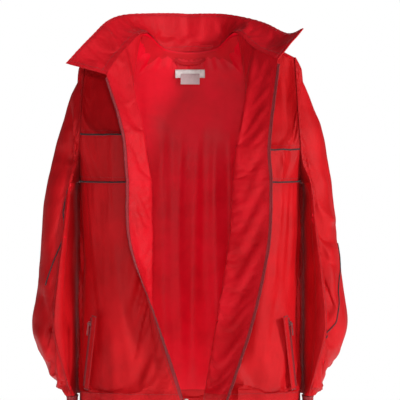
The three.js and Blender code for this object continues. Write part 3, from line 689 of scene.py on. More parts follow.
SLEEVE_FOLDS = {
    "left": [
        ((-252, -110), (-246, -345), 7, -10.5, -3), ((-240, -100), (-238, -330), 6, 5.2),
        ((-284, -190), (-300, -420), 18, 6.0), ((-262, -330), (-256, -560), 12, -7.5, 6),
        ((-318, -480), (-280, -600), 14, -7.5), ((-300, -560), (-244, -600), 9, -12.0, -6),
        ((-320, -560), (-262, -660), 12, 9.0), ((-290, -610), (-252, -690), 9, -9.0),
        ((-240, -420), (-242, -620), 9, 6.0), ((-300, -640), (-266, -690), 8, 6.0),
    ],
    "right": [
        ((262, -120), (280, -300), 18, 6.0), ((236, -318), (302, -392), 11, -13.5, 8),
        ((246, -286), (300, -350), 13, 9.0, 8), ((264, -400), (246, -500), 11, -15.0, -6),
        ((288, -400), (292, -560), 15, 9.0), ((232, -420), (250, -590), 8, 10.5, -5),
        ((262, -520), (256, -640), 13, -19.5), ((300, -500), (262, -650), 10, 7.5, 8),
        ((278, -560), (296, -600), 8, -7.5), ((290, -610), (256, -676), 8, -7.5),
        ((240, -380), (300, -440), 8, -6.0),
    ],
}
BACK_FOLDS = [
    ((-150, -60), (-165, -700), 22, 5.0, 12), ((-95, -120), (-80, -700), 24, -5.0),
    ((-30, -90), (-48, -710), 26, 5.5), ((40, -120), (30, -710), 24, -4.5),
    ((92, -80), (104, -710), 22, 5.0), ((150, -100), (158, -700), 20, -5.0, -10),
    ((-70, -420), (-60, -715), 14, 3.0), ((66, -400), (74, -715), 14, 3.0),
]
LINING_FOLDS = [
    ((-150, -60), (-140, -700), 20, 6.0), ((-110, -80), (-98, -700), 18, -6.0),
    ((-62, -150), (-50, -700), 24, 8.0), ((-22, -170), (-16, -640), 15, 5.0, 5),
    ((8, -230), (4, -700), 24, -6.5), ((30, -165), (26, -480), 12, 4.0),
    ((54, -170), (60, -620), 16, 8.0, 6), ((82, -170), (80, -700), 15, -7.0),
    ((112, -120), (112, -700), 18, 6.0), ((34, -480), (40, -700), 15, 4.0),
]


def front_grid(side):
    rows = front_rows(side)
    above = woven_grid(rows[:3], FRONT_ACROSS, FRONT_ABOVE)
    below = woven_grid(rows[2:], FRONT_ACROSS, FRONT_BELOW)
    return np.concatenate([above, below[1:]])


def held_near(count, places, width):
    """How firmly a line of count points is held: 1 at the places given, less away from them."""
    at = np.arange(count)
    return np.max([np.exp(-((at - place) / width) ** 2) for place in places], axis=0)


def quiet_at(grid, columns=(), rows=(), width=3.0):
    """1 in the open cloth and 0 at the rows and columns where it is sewn down."""
    tall, wide = grid.shape[:2]
    still = np.zeros((tall, wide))
    if len(columns):
        still = np.maximum(still, held_near(wide, columns, width)[None, :])
    if len(rows):
        still = np.maximum(still, held_near(tall, rows, width)[:, None])
    return 1 - still


def drape_front(name, side):
    grid = front_grid(side)
    x, z = grid[..., 0] / MM, grid[..., 2] / MM
    last_row, last_column = len(FRONT_ABOVE) + len(FRONT_BELOW) - 2, len(FRONT_ACROSS) - 1
    calm = quiet_at(grid, (0, last_column), (0,), 4)
    seams = quiet_at(grid, (), (YOKE_ROW, CHEST_ROW), 1.2)
    flat = 1 - smooth((np.arange(last_column + 1) - FACING_COLUMN + 4) / 10)[None, :] * 0.85
    rise = fold_height(x, z, FRONT_FOLDS[name]) * flat
    rise += 1.4 * rumple(x, z, 20, 130, 3) * flat + 0.5 * rumple(x, z, 15, 34, 4)
    pocket = ((side["sign"] * 206, -700), (side["sign"] * 196, -525), 24, 4.0)
    rise += fold_height(x, z, [pocket])
    grid = raised(grid, rise * calm - 1.1 * (1 - seams), side["sign"])
    hold = 0.06 + 0.94 * (1 - quiet_at(grid, (0, last_column), (0, last_row), 1.5))
    sewn_lines = quiet_at(grid, (FACING_COLUMN + 2,), (YOKE_ROW, CHEST_ROW, HEM_ROW), 1.5)
    hold = np.maximum(hold, 0.5 * (1 - sewn_lines))
    return settled(grid, hold, 0.012)


def drape_back():
    rows = back_rows()
    above = woven_grid(rows[:4], BACK_ACROSS, BACK_ABOVE)
    below = woven_grid(rows[3:], BACK_ACROSS, BACK_BELOW)
    grid = np.concatenate([above, below[1:]])
    x, z = grid[..., 0] / MM, grid[..., 2] / MM
    last_row, last_column = grid.shape[0] - 1, grid.shape[1] - 1
    calm = quiet_at(grid, (0, last_column), (0,), 5)
    seams = quiet_at(grid, (), (BACK_CHEST_ROW,), 1.2)
    rise = fold_height(x, z, BACK_FOLDS) + 1.6 * rumple(x, z, 26, 150, 5) + 0.8 * rumple(x, z, 15, 36, 6)
    shaped = raised(grid, rise * calm - 1.1 * (1 - seams))
    hold = 0.06 + 0.94 * (1 - quiet_at(grid, (0, last_column), (0, last_row), 1.5))
    hold = np.maximum(hold, 0.5 * (1 - quiet_at(grid, (), (BACK_CHEST_ROW, BACK_HEM_ROW), 1.5)))
    return grid, settled(shaped, hold, 0.012)


def drape_lining(plain_back):
    """The lining of the back: looser than the outside, in long folds, seen from in front."""
    x, z = plain_back[..., 0] / MM, plain_back[..., 2] / MM
    last_row, last_column = plain_back.shape[0] - 1, plain_back.shape[1] - 1
    calm = quiet_at(plain_back, (0, last_column), (0, last_row), 5)
    loose = smooth((-z - 110) / 90)
    rise = fold_height(x, z, LINING_FOLDS)
    rise = rise + 1.3 * rumple(x, z, 19, 190, 8) * loose + 0.5 * rumple(x, z, 24, 60, 9)
    away = LINING_DEPTH + 4 * smooth((-z - 160) / 60) * calm
    shaped = raised(plain_back, -np.maximum(away + rise * calm, 2.2))
    hold = 0.05 + 0.95 * (1 - quiet_at(shaped, (0, last_column), (0, last_row), 1.5))
    return settled(shaped, hold, 0.014, stiffness=0.15)


def lapped(grid, sign):
    """A sleeve laid behind the body's side below the armhole, and a little over it in front."""
    x, y, z = np.abs(grid[..., 0]) / MM, grid[..., 1] / MM, grid[..., 2] / MM
    shift = 18 * smooth((y - 15) / 38) + 4 * smooth((-y - 15) / 38)
    shift *= smooth((290 - x) / 45) * smooth((-z - 240) / 50) * smooth((z + 735) / 40)
    moved = grid.copy()
    moved[..., 0] -= sign * shift * MM
    return moved


def fitted(grid, name, sign):
    """The head of a sleeve, drawn in to the armhole that the body has at each height."""
    done = grid.copy()
    half = grid.shape[1] // 2
    back_edge = back[:, 0 if sign < 0 else -1]
    for edge, column, share in ((fronts[name][:, 0], -1, slice(half, None)), (back_edge, 0, slice(0, half))):
        height = grid[:, column, 2]
        body = np.abs(np.interp(-height, -edge[:, 2], edge[:, 1])) + 2 * MM
        scale = np.minimum(body / np.maximum(np.abs(grid[:, column, 1]), 0.1 * MM), 1)
        done[:, share, 1] *= 1 - (1 - scale[:, None]) * smooth((height[:, None] / MM + 235) / 40)
    return done


def drape_sleeve(name, sign):
    top = fitted(woven_grid(sleeve_rows(sign, True), SLEEVE_ACROSS, SLEEVE_DOWN), name, sign)
    top = lapped(top, sign)
    under = lapped(woven_grid(sleeve_rows(sign, False, 6), SLEEVE_ACROSS, UNDER_DOWN), sign)
    x, y, z = (top[..., k] / MM for k in range(3))
    tall, wide = top.shape[:2]
    in_front = smooth((20 - y) / 40)
    folds = fold_height(x, z, SLEEVE_FOLDS[name]) * in_front
    behind = [((a[0], a[1] - 30), (b[0], b[1] - 30), *rest) for a, b, *rest in SLEEVE_FOLDS[name]]
    folds += 0.8 * fold_height(x, z, behind) * (1 - in_front)
    rise = folds + 1.6 * rumple(y + x, z, 30, 80, 11) + 0.8 * rumple(y, z, 14, 26, 12)
    gather = smooth((-z - 650) / 50) * np.sin(np.arange(wide) * 1.15)[None, :] * 2.0
    calm = quiet_at(top, (0, wide - 1), (0,), 3)
    shaped = raised(top, (rise + gather) * calm, sign)
    hold = 0.05 + 0.95 * (1 - quiet_at(top, (0, wide - 1), (0, tall - 1), 1.5))
    hold = np.maximum(hold, (np.arange(tall) < 6)[:, None] * 0.8)
    top_done = settled(shaped, hold, 0.02, gravity=1.0)
    x, y, z = (under[..., k] / MM for k in range(3))
    columns = np.arange(under.shape[1])[None, :]
    hollow = (12 + 3 * np.sin(z / 42)) * np.exp(-((columns - 0.76 * columns.max()) / 9) ** 2)
    rise = rumple(y, z, 22, 60, 13) - hollow
    calm = quiet_at(under, (0, wide - 1), (0, under.shape[0] - 1), 4)
    return top_done, raised(under, rise * calm, -sign)


def drape_collar():
    grid = woven_grid(collar_rows(), COLLAR_ACROSS, COLLAR_DOWN)
    x, z = grid[..., 0] / MM, grid[..., 2] / MM
    dents = [
        ((-70, 34), (-14, 20), 9, 4.0, -4), ((-34, 30), (-22, 6), 6, -3.0), ((60, 60), (78, 10), 9, 3.5),
        ((-120, 66), (-96, 20), 13, 5.0), ((-170, 40), (-140, -10), 12, -4.0),
        ((120, 52), (104, 10), 12, -5.0),
        ((22, 74), (14, 24), 12, -2.5), ((170, 30), (150, -6), 10, 4.0), ((-8, 78), (-4, 30), 10, 2.5),
    ]
    calm = quiet_at(grid, (), (len(COLLAR_DOWN) - 1,), 5)
    rise = fold_height(x, z, dents) + 1.2 * rumple(x, z, 26, 30, 15)
    shaped = raised(grid, rise * calm)
    wide = grid.shape[1]
    hold = 0.15 + 0.85 * (1 - quiet_at(grid, (0, wide - 1), (0, len(COLLAR_DOWN) - 1), 1.5))
    return settled(shaped, hold, 0.015, gravity=0.4)


CLOTH_THICK = 1.0
LINING_DEPTH = 5.0
FACING_DEPTH = 4.0
LINING_THICK = 0.8

plain_back, back = drape_back()
fronts = {name: drape_front(name, side) for name, side in SIDES.items()}
sleeves = {name: drape_sleeve(name, side["sign"]) for name, side in SIDES.items()}
lining_back = drape_lining(plain_back)
collar = drape_collar()


# ---------------------------------------------------------------- cloth pieces

def part_of(grid, rows, columns):
    return grid[rows[0]:rows[1] + 1, columns[0]:columns[1] + 1]


def layer(grid, sign, rows, columns, depth, thick, seams=()):
    """A closed layer of cloth under part of a draped grid. depth and thick are in millimetres, as one
    number or as one for each point of the whole grid."""
    out = facing_out(grid, sign)
    full = np.broadcast_to(np.asarray(depth, float), grid.shape[:2])[..., None] * MM
    deep = np.broadcast_to(np.asarray(thick, float), grid.shape[:2])[..., None] * MM
    upper = part_of(grid - out * full, rows, columns)
    lower = part_of(grid - out * (full + deep), rows, columns)
    return closed_cloth(upper, lower, seams)


def tapered(count, end_depth, depth, width, at_end=True):
    """A depth along a line of count points that closes to end_depth at one end."""
    steps = np.arange(count)
    away = (count - 1 - steps) if at_end else steps
    return end_depth + (depth - end_depth) * smooth(away / width)


def area_of(grid):
    """The area of a grid of points, and how wide and how long it is at its widest and longest."""
    across, down = lengths_over(grid)
    a = np.cross(grid[1:, 1:] - grid[:-1, :-1], grid[1:, :-1] - grid[:-1, 1:])
    return float(np.linalg.norm(a, axis=2).sum() / 2), (float(across[:, -1].max()), float(down[-1].max()))


NARROWEST_SHEET = 0.01


def cut_from(piece, grid, held="hung", **more):
    """Works out the size that a piece's grid has when it is laid flat, where a curved strip counts as a
    straight one of its length. Nothing is declared or kept."""
    area, flat = area_of(grid)
    if area < 0.35 * flat[0] * flat[1]:
        flat = (max(flat), area / max(flat))
    if min(flat) < NARROWEST_SHEET:
        return  # a tape


BEND_FROM, BEND_TO = -0.267, -0.43  # where a front starts to swing, and where all of it does


def front_bend(name):
    return "torso", f"{name}_front", (0, -0.1, BEND_FROM), (0, -0.1, BEND_TO)


def sleeve_bend(name, sign):
    return "torso", f"{name}_sleeve", (sign * 0.228, 0, -0.24), (sign * 0.262, 0, -0.47)


def cover_front(name, side):
    grid, sign = fronts[name], side["sign"]
    last_row, last_column = grid.shape[0] - 1, grid.shape[1] - 1
    whole = (0, last_column)
    outer = [
        ("front_yoke", (0, YOKE_ROW), ("top", "bottom", "start")),
        ("chest_band", (YOKE_ROW, CHEST_ROW), ("top", "bottom", "start")),
        ("front_panel", (CHEST_ROW, HEM_ROW), ("top", "bottom", "start", "end")),
    ]
    for part, rows, seams in outer:
        mesh = layer(grid, sign, rows, whole, 0, CLOTH_THICK, seams)
        lower = part == "front_panel"
        place = {"bend": front_bend(name)} if lower else {"body": "torso"}
        piece = sewn(f"{name}_{part}", mesh, TAFFETA, **place)
        cut_from(piece, part_of(grid, rows, whole))
    hem_thick = np.full(grid.shape[:2], CLOTH_THICK)
    hem_thick[HEM_ROW:] = np.linspace(LINING_DEPTH, 1.6, last_row - HEM_ROW + 1)[:, None]
    close = tapered(last_column + 1, 0.6, 1, 8)
    mesh = layer(grid, sign, (HEM_ROW, last_row), whole, 0, hem_thick * close, ("top", "bottom"))
    piece = sewn(f"{name}_front_hem", mesh, TAFFETA, bend=front_bend(name))
    cut_from(piece, part_of(grid, (HEM_ROW, last_row), whole), held="folded")

    x, z = grid[..., 0] / MM, grid[..., 2] / MM
    puckers = 1.5 * rumple(x + 0.7 * z, z - 0.5 * x, 16, 9, 21) + 0.8 * rumple(x, z, 9, 7, 22)
    puckers *= smooth((-z - 150) / 120) * smooth((z + 560) / 60)
    puckers *= quiet_at(grid, (FACING_COLUMN, last_column), (0, CHEST_ROW), 2.5)
    depth = tapered(last_column + 1, 1.3, FACING_DEPTH, 5)[None, :] * np.ones((last_row + 1, 1))
    depth = np.minimum(depth, 1.3 + 0.25 * np.arange(last_row + 1)[:, None])
    for part, rows, place in (
        ("upper", (0, CHEST_ROW), {"body": "torso"}),
        ("lower", (CHEST_ROW, HEM_ROW), {"bend": front_bend(name)}),
    ):
        edge = (FACING_COLUMN, last_column)
        mesh = layer(grid, sign, rows, edge, depth + puckers, LINING_THICK, ("start", "end"))
        piece = sewn(f"{name}_{part}_facing", mesh, FACING_TAFFETA, **place)
        cut_from(piece, part_of(grid, rows, edge))
        inside = (0, FACING_COLUMN)
        body = tapered(last_column + 1, 2.0, LINING_DEPTH, 8, at_end=False)[None, :]
        under = np.minimum(body, 1.3 + 0.25 * np.arange(last_row + 1)[:, None])
        near = smooth((FACING_COLUMN - np.arange(last_column + 1)) / 6)[None, :]
        under = depth * (1 - near) + under * near + 1.6 * rumple(x, z, 12, 150, 23) * near * (under > 4)
        mesh = layer(grid, sign, rows, inside, under, LINING_THICK, ("start", "end"))
        # Above the chest seam the lining is the facing's nylon, as in the jacket there. Being darker than the
        # satin, it is also painted shade on the inside of the shoulder, which the lamps catch too brightly.
        piece = sewn(f"{name}_{part}_lining", mesh, SATIN if part == "lower" else FACING_TAFFETA, **place)
        cut_from(piece, part_of(grid, rows, inside))
    return grid


def cover_back():
    last_row, last_column = back.shape[0] - 1, back.shape[1] - 1
    whole = (0, last_column)
    for part, rows in (("back_yoke", (0, BACK_CHEST_ROW)), ("back_panel", (BACK_CHEST_ROW, BACK_HEM_ROW))):
        mesh = layer(back, 1, rows, whole, 0, CLOTH_THICK, ("top", "bottom", "start", "end"))
        cut_from(sewn(part, mesh, TAFFETA, body="torso"), part_of(back, rows, whole))
    hem = np.full(back.shape[:2], CLOTH_THICK)
    hem[BACK_HEM_ROW:] = np.linspace(LINING_DEPTH, 1.6, last_row - BACK_HEM_ROW + 1)[:, None]
    mesh = layer(back, 1, (BACK_HEM_ROW, last_row), whole, 0, hem, ("top", "bottom"))
    piece = sewn("back_hem", mesh, TAFFETA, body="torso")
    cut_from(piece, part_of(back, (BACK_HEM_ROW, last_row), whole), held="folded")
    parts = {"back_yoke_lining": (0, BACK_CHEST_ROW), "back_lining": (BACK_CHEST_ROW, BACK_HEM_ROW)}
    for part, rows in parts.items():
        mesh = layer(lining_back, 1, rows, (1, last_column - 1), 0, LINING_THICK)
        cut_from(sewn(part, mesh, SATIN, body="torso"), part_of(lining_back, rows, whole))


def on_grid(grid, rows, columns):
    """Points between the points of a grid, at fractional rows and columns."""
    i = np.clip(np.floor(rows).astype(int), 0, grid.shape[0] - 2)
    j = np.clip(np.floor(columns).astype(int), 0, grid.shape[1] - 2)
    s, t = (rows - i)[..., None], (columns - j)[..., None]
    upper = grid[i, j] * (1 - t) + grid[i, j + 1] * t
    lower = grid[i + 1, j] * (1 - t) + grid[i + 1, j + 1] * t
    return upper * (1 - s) + lower * s


MOON_COLUMNS = (31, 99)
MOON_FOLDS = [
    ((-42, -60), (-36, -150), 5, 3.5), ((-30, -110), (-28, -150), 3, -3.0),
    ((-52, -110), (-50, -148), 4, -2.5),
    ((30, -60), (26, -150), 5, 3.5), ((38, -110), (38, -150), 3, -2.5), ((16, -115), (18, -150), 4, -2.5),
    ((-70, -70), (-66, -130), 8, 1.5), ((64, -70), (60, -130), 8, 1.5),
]
MOON_DEPTH = 3.2  # in front of the lining


def drape_moon():
    """The half-moon facing inside the nape, over the lining."""
    share = np.linspace(0, 1, 100)
    lowest = 0.3 + 0.3 * np.sin(math.pi * share)
    foot = np.interp(lowest, BACK_ABOVE, np.arange(len(BACK_ABOVE)))
    first = np.full(100, 1.0)
    down = np.linspace(0, 1, 44)[:, None]
    rows = first[None, :] * (1 - down) + foot[None, :] * down
    columns = np.broadcast_to(MOON_COLUMNS[0] + (MOON_COLUMNS[1] - MOON_COLUMNS[0]) * share, rows.shape)
    grid = on_grid(plain_back, rows, columns)
    x, z = grid[..., 0] / MM, grid[..., 2] / MM
    rise = fold_height(x, z, MOON_FOLDS) + 0.7 * rumple(x, z, 20, 45, 31)
    return raised(grid, -LINING_DEPTH - MOON_DEPTH - rise * smooth(down * 3))


def cover_neck():
    moon = drape_moon()
    full = (0, moon.shape[0] - 1), (0, moon.shape[1] - 1)
    mesh = layer(moon, 1, *full, 0, LINING_THICK, ("bottom", "start", "end"))
    cut_from(sewn("back_neck_facing", mesh, FACING_TAFFETA, body="torso"), moon)
    last_row, last_column = collar.shape[0] - 1, collar.shape[1] - 1
    whole = (0, last_row), (0, last_column)
    rows, columns = np.arange(last_row + 1)[:, None], np.arange(last_column + 1)[None, :]
    open_edge = smooth(np.minimum(np.minimum(columns, last_column - columns), rows) / 3)
    all_round = ("top", "bottom", "start", "end")
    mesh = layer(collar, 1, *whole, 0, 1.1, all_round)
    cut_from(sewn("collar_shell", mesh, TAFFETA, body="torso"), collar)
    mesh = layer(collar, 1, *whole, 1.15 + 1.4 * open_edge, 0.9, all_round)
    cut_from(sewn("collar_lining", mesh, FACING_TAFFETA, body="torso"), collar)
    return moon


def cover_sleeve(name, sign):
    top, under = sleeves[name]
    bend = sleeve_bend(name, sign)
    for part, grid, way, seams in (
        ("top_sleeve", top, sign, ("start", "end", "top")),
        ("under_sleeve", under, -sign, ("start", "end")),
    ):
        full = (0, grid.shape[0] - 1), (0, grid.shape[1] - 1)
        mesh = layer(grid, way, *full, 0, CLOTH_THICK, seams)
        cut_from(sewn(f"{name}_{part}", mesh, TAFFETA, bend=bend), grid)
    ring = np.concatenate([top[ARMPIT_ROW:], under[:, -2:0:-1], top[ARMPIT_ROW:, :1]], axis=1)
    full = (0, ring.shape[0] - 1), (0, ring.shape[1] - 1)
    mesh = layer(ring, sign, *full, 3.2, LINING_THICK)
    cut_from(sewn(f"{name}_sleeve_lining", mesh, SATIN, bend=bend), ring)


CUFF_RIBS = 46
CUFF_STEPS = 6 * CUFF_RIBS


def cover_cuff(name, sign):
    """The sleeve's end gathered over elastic: an oval band, ribbed all round and drawn in by two
    channels of stitching."""
    low, high = (np.array(corner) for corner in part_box(f"{name}_cuff"))
    middle, half = (low + high) / 2, (high - low) / 2
    turn = np.linspace(0, 2 * math.pi, CUFF_STEPS + 1)
    down = np.linspace(0, 1, 26)[:, None]
    channels = np.exp(-((down - 0.3) / 0.05) ** 2) + np.exp(-((down - 0.7) / 0.05) ** 2)
    rib = 1.1 * np.cos(turn * CUFF_RIBS)[None, :] + 0.5 * np.sin(turn * 11 + 4 * down)
    rib = rib * (1 - 0.55 * channels)
    swell = (-0.6 - 1.2 * channels + rib) * MM + 1.4 * MM * smooth((0.1 - down) / 0.1)
    x = middle[0] - sign * (half[0] + swell) * np.cos(turn)
    y = middle[1] - (half[1] + swell) * np.sin(turn)
    z = np.broadcast_to(high[2] - down * 2 * half[2], x.shape)
    grid = np.stack([x, y, z], 2)
    full = (0, grid.shape[0] - 1), (0, grid.shape[1] - 1)
    mesh = layer(grid, sign, *full, 0, 1.6, ("bottom",))
    piece = sewn(f"{name}_cuff", mesh, CUFF_NYLON, body=f"{name}_sleeve")
    cut_from(piece, grid, held="gathered")


for name, side in SIDES.items():
    cover_front(name, side)
    cover_sleeve(name, side["sign"])
    cover_cuff(name, side["sign"])
cover_back()
moon = cover_neck()


# ---------------------------------------------------------------- seams and trims

def close_armhole(name, sign):
    """The seam allowance that joins the armhole of the body to the head of the sleeve."""
    top, under = sleeves[name]
    behind, before = top[:ARMPIT_ROW + 1, 0], top[:ARMPIT_ROW + 1, -1]
    edge = np.concatenate([behind, under[0, 1:-1], before[::-1]])
    middle, half = (ARMHOLE_DROP - SHOULDER[2]) / 2, (ARMHOLE_DROP + SHOULDER[2]) / 2
    beside = np.arccos(np.clip((middle + behind[:, 2] / MM) / half, -1, 1))
    low = np.searchsorted(beside, 2.35)
    turns = np.concatenate([beside[:low], np.linspace(2.35, math.pi, (len(edge) + 1) // 2 - low + 1)[1:]])
    turns = np.concatenate([turns, turns[::-1]])[:len(edge)]
    heights = -(middle - half * np.cos(turns)) * MM
    first_half = np.arange(len(edge)) < len(edge) // 2
    seam = np.where(
        first_half[:, None],
        column_at(back[:BACK_CHEST_ROW + 1], 0 if sign < 0 else -1, heights),
        column_at(fronts[name][:CHEST_ROW + 1], 0, heights),
    )
    share = np.linspace(0, 1, 5)[:, None, None]
    grid = seam * (1 - share) + edge * share
    mesh = closed_cloth(grid, grid - facing_out(grid) * 0.7 * MM, ("top", "bottom"))
    piece = shown(f"{name}_armhole_seam_cloth", mesh, TAFFETA, bend=sleeve_bend(name, sign))
    cut_from(piece, grid)


def column_at(grid, column, heights):
    line = grid[::-1, column]
    return np.stack([np.interp(heights, line[:, 2], line[:, k]) for k in range(3)], 1)


PIPING_RADIUS = 1.5 * MM
SLEEVE_PIPING = {  # shares across and down the top sleeve
    "left": ((0.95, 0.47), (0.96, 0.62), (0.8, 0.74)), "right": ((0.48, 0.66), (0.78, 0.76), (0.95, 0.84)),
}


def lay_pipings():
    for name, side in SIDES.items():
        grid = fronts[name]
        out = facing_out(grid, side["sign"])
        for part, row in (("upper", YOKE_ROW), ("lower", CHEST_ROW)):
            mesh = tube((grid + out * 0.5 * MM)[row, :-1], PIPING_RADIUS)
            piping = f"{name}_{part}_chest_piping"
            shown(f"{piping}_cord", mesh, PIPING, "torso", stands_for=[piping])
        top = sleeves[name][0]
        across, down = through(SLEEVE_PIPING[name], np.linspace(0, 1, 60)).T
        rows = np.interp(down, SLEEVE_DOWN, np.arange(len(SLEEVE_DOWN)))
        columns = across * (len(SLEEVE_ACROSS) - 1)
        line = on_grid(top + facing_out(top, side["sign"]) * 0.8 * MM, rows, columns)
        shown(
            f"{name}_sleeve_piping_cord", tube(line, PIPING_RADIUS * 0.8), PIPING,
            bend=sleeve_bend(name, side["sign"]), stands_for=[f"{name}_sleeve_piping"],
        )
    line = (back + facing_out(back) * 0.5 * MM)[BACK_CHEST_ROW, 1:-1]
    shown("back_piping_cord", tube(line, PIPING_RADIUS), PIPING, "torso", stands_for=["back_piping"])


# ---------------------------------------------------------------- what repeats along a line

def repeat_tree(name, finish_of_it, build):
    """A node tree that lays copies of a small shape along the edges of a mesh, a spacing apart and
    turned along the line."""
    tree = bpy.data.node_groups.new(name, "GeometryNodeTree")
    face = tree.interface
    face.new_socket("Path", in_out="INPUT", socket_type="NodeSocketGeometry")
    for label in ("Spacing", "Length", "Thickness"):
        face.new_socket(label, in_out="INPUT", socket_type="NodeSocketFloat")
    face.new_socket("Shape", in_out="OUTPUT", socket_type="NodeSocketGeometry")
    given = add(tree, "NodeGroupInput").outputs
    curve = add(tree, "GeometryNodeMeshToCurve", {"Mesh": given["Path"]})
    spaced = add(tree, "GeometryNodeResampleCurve", {
        "Curve": curve.outputs[0], "Length": given["Spacing"],
    }, mode="LENGTH")
    way = add(tree, "GeometryNodeInputTangent")
    turn = add(tree, "FunctionNodeAlignRotationToVector", {"Vector": way.outputs[0]}, axis="Z")
    shape = build(tree, given)
    laid = add(tree, "GeometryNodeInstanceOnPoints", {
        "Points": spaced.outputs[0], "Instance": shape, "Rotation": turn.outputs[0],
    })
    real = add(tree, "GeometryNodeRealizeInstances", {0: laid.outputs[0]})
    smooth_faces = add(tree, "GeometryNodeSetShadeSmooth", {"Geometry": real.outputs[0]})
    done = add(tree, "GeometryNodeSetMaterial", {
        "Geometry": smooth_faces.outputs[0], "Material": finish_of_it,
    })
    add(tree, "NodeGroupOutput", {0: done.outputs[0]})
    return tree


def drawn_out(tree, small, given):
    """A shape one unit in size, at the thickness and length that the tree is given."""
    size = add(tree, "ShaderNodeCombineXYZ", {
        0: given["Thickness"], 1: given["Thickness"], 2: given["Length"],
    })
    return add(tree, "GeometryNodeTransform", {
        "Geometry": small.outputs[0], "Scale": size.outputs[0],
    }).outputs[0]


def stitch_shape(tree, given):
    """One stitch: a short strand that dips into the cloth at both ends."""
    strand = add(tree, "GeometryNodeMeshUVSphere", {"Segments": 6, "Rings": 5, "Radius": 0.5})
    return drawn_out(tree, strand, given)


def tooth_shape(tree, given):
    """One turn of a zip coil: a rounded block across the tape's edge."""
    block = add(tree, "GeometryNodeMeshCylinder", {"Vertices": 8, "Radius": 0.5, "Depth": 1.0})
    return drawn_out(tree, block, given)


STITCHES = repeat_tree("stitches", THREAD, stitch_shape)
TEETH = repeat_tree("zip_teeth", COIL, tooth_shape)


def repeated(name, tree, lines, sizes, finish_of_it, **place):
    """A piece of shapes laid along lines by tree. sizes are its Spacing, Length and Thickness in mm."""
    points, edges = [], []
    for line in lines:
        edges += [(len(points) + k, len(points) + k + 1) for k in range(len(line) - 1)]
        points += [tuple(point) for point in line]
    path = bpy.data.meshes.new(name)
    path.from_pydata(points, edges, [])
    holder = bpy.data.objects.new(name + "_path", path)
    bpy.context.scene.collection.objects.link(holder)
    maker = holder.modifiers.new(name, "NODES")
    maker.node_group = tree
    for label, size in zip(("Spacing", "Length", "Thickness"), sizes):
        maker[tree.interface.items_tree[label].identifier] = size * MM
    graph = bpy.context.evaluated_depsgraph_get()
    mesh = bpy.data.meshes.new_from_object(holder.evaluated_get(graph), depsgraph=graph)
    bpy.data.objects.remove(holder)
    return shown(name, mesh, finish_of_it, **place)


def lines_on(grid, sign, lift, rows=(), columns=(), across=None, down=None):
    """Lines on a grid: along whole rows and down whole columns, lifted off it by lift mm."""
    face = grid + facing_out(grid, sign) * lift * MM
    across = np.arange(*(across or (1, grid.shape[1] - 1)))
    down = np.arange(*(down or (1, grid.shape[0] - 1)))
    lines = [on_grid(face, np.full(len(across), float(row)), across.astype(float)) for row in rows]
    for column in columns:
        lines.append(on_grid(face, down.astype(float), np.full(len(down), float(column))))
    return lines


TOPSTITCH = (3.4, 2.7, 0.7)  # spacing, length and thickness of one stitch


def sew():
    for name, side in SIDES.items():
        sign, grid = side["sign"], fronts[name]
        last_row, last_column = grid.shape[0] - 1, grid.shape[1] - 1
        above = lines_on(grid, sign, 0.25, rows=(YOKE_ROW - 2.4, CHEST_ROW - 2.4))
        above += lines_on(grid, sign, 0.25, columns=(last_column - 2,), down=(1, CHEST_ROW))
        repeated(f"{name}_chest_stitching", STITCHES, above, TOPSTITCH, THREAD, body="torso")
        below = lines_on(grid, sign, 0.25, rows=(HEM_ROW,))
        below += lines_on(grid, sign, 0.25, columns=(last_column - 2,), down=(CHEST_ROW, last_row))
        repeated(f"{name}_front_stitching", STITCHES, below, TOPSTITCH, THREAD, bend=front_bend(name))
        top, under = sleeves[name]
        beside_seams, below_armpit = (1.2, top.shape[1] - 2.2), (ARMPIT_ROW, top.shape[0] - 1)
        lines = lines_on(top, sign, 0.3, columns=beside_seams, down=below_armpit)
        lines += lines_on(top, sign, 0.3, rows=(top.shape[0] - 5,))
        repeated(f"{name}_sleeve_stitching", STITCHES, lines, TOPSTITCH, THREAD, bend=sleeve_bend(name, sign))
    lines = lines_on(back, 1, 0.25, rows=(BACK_CHEST_ROW - 2.4, BACK_HEM_ROW))
    repeated("back_stitching", STITCHES, lines, TOPSTITCH, THREAD, body="torso")
    last_row, last_column = collar.shape[0] - 1, collar.shape[1] - 1
    lines = lines_on(collar, 1, 0.25, rows=(1.6,), columns=(1.6, last_column - 1.6))
    lines += lines_on(collar, 1, -3.75, rows=(1.6, last_row - 3), columns=(1.6, last_column - 1.6))
    repeated("collar_stitching", STITCHES, lines, TOPSTITCH, THREAD, body="torso")
    lines = lines_on(moon, 1, -1.0, rows=(moon.shape[0] - 2,))
    repeated("neck_facing_stitching", STITCHES, lines, TOPSTITCH, THREAD, body="torso")


# ---------------------------------------------------------------- zips

TAPE_FROM, TAPE_TO = 0.3 * MM, 6.4 * MM
TAPE_DEPTH, TAPE_THICK = 0.5 * MM, 0.8 * MM

TEETH_SIZES = (1.7, 1.1, 2.2)


def zip_tapes(name, sign):
    grid = fronts[name]
    last_row = grid.shape[0] - 1
    way = grid[:, -1] - grid[:, -3]
    way /= np.linalg.norm(way, axis=1, keepdims=True)
    out = facing_out(grid, sign)[:, -1]
    reach = np.linspace(TAPE_FROM, TAPE_TO, 4)[None, :, None]
    face = grid[:, -1:] + way[:, None] * reach - out[:, None] * TAPE_DEPTH
    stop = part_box("zip_box" if sign < 0 else "zip_pin")[1].z + 0.5 * MM
    foot = int(np.flatnonzero(face[:, 2, 2] > stop)[-1])
    for part, rows, place in (
        ("upper", (2, CHEST_ROW), {"body": "torso"}),
        ("lower", (CHEST_ROW, foot), {"bend": front_bend(name)}),
    ):
        upper = face[rows[0]:rows[1] + 1]
        lower = upper - out[rows[0]:rows[1] + 1, None] * TAPE_THICK
        piece = sewn(f"{name}_{part}_zip_tape", closed_cloth(upper, lower, ("start",)), TAPE, **place)
        cut_from(piece, upper)
        line = upper[:, -1] - out[rows[0]:rows[1] + 1] * TAPE_THICK / 2
        repeated(f"{name}_{part}_zip_coil", TEETH, [line], TEETH_SIZES, COIL, **place)


NUDGE = 0.002


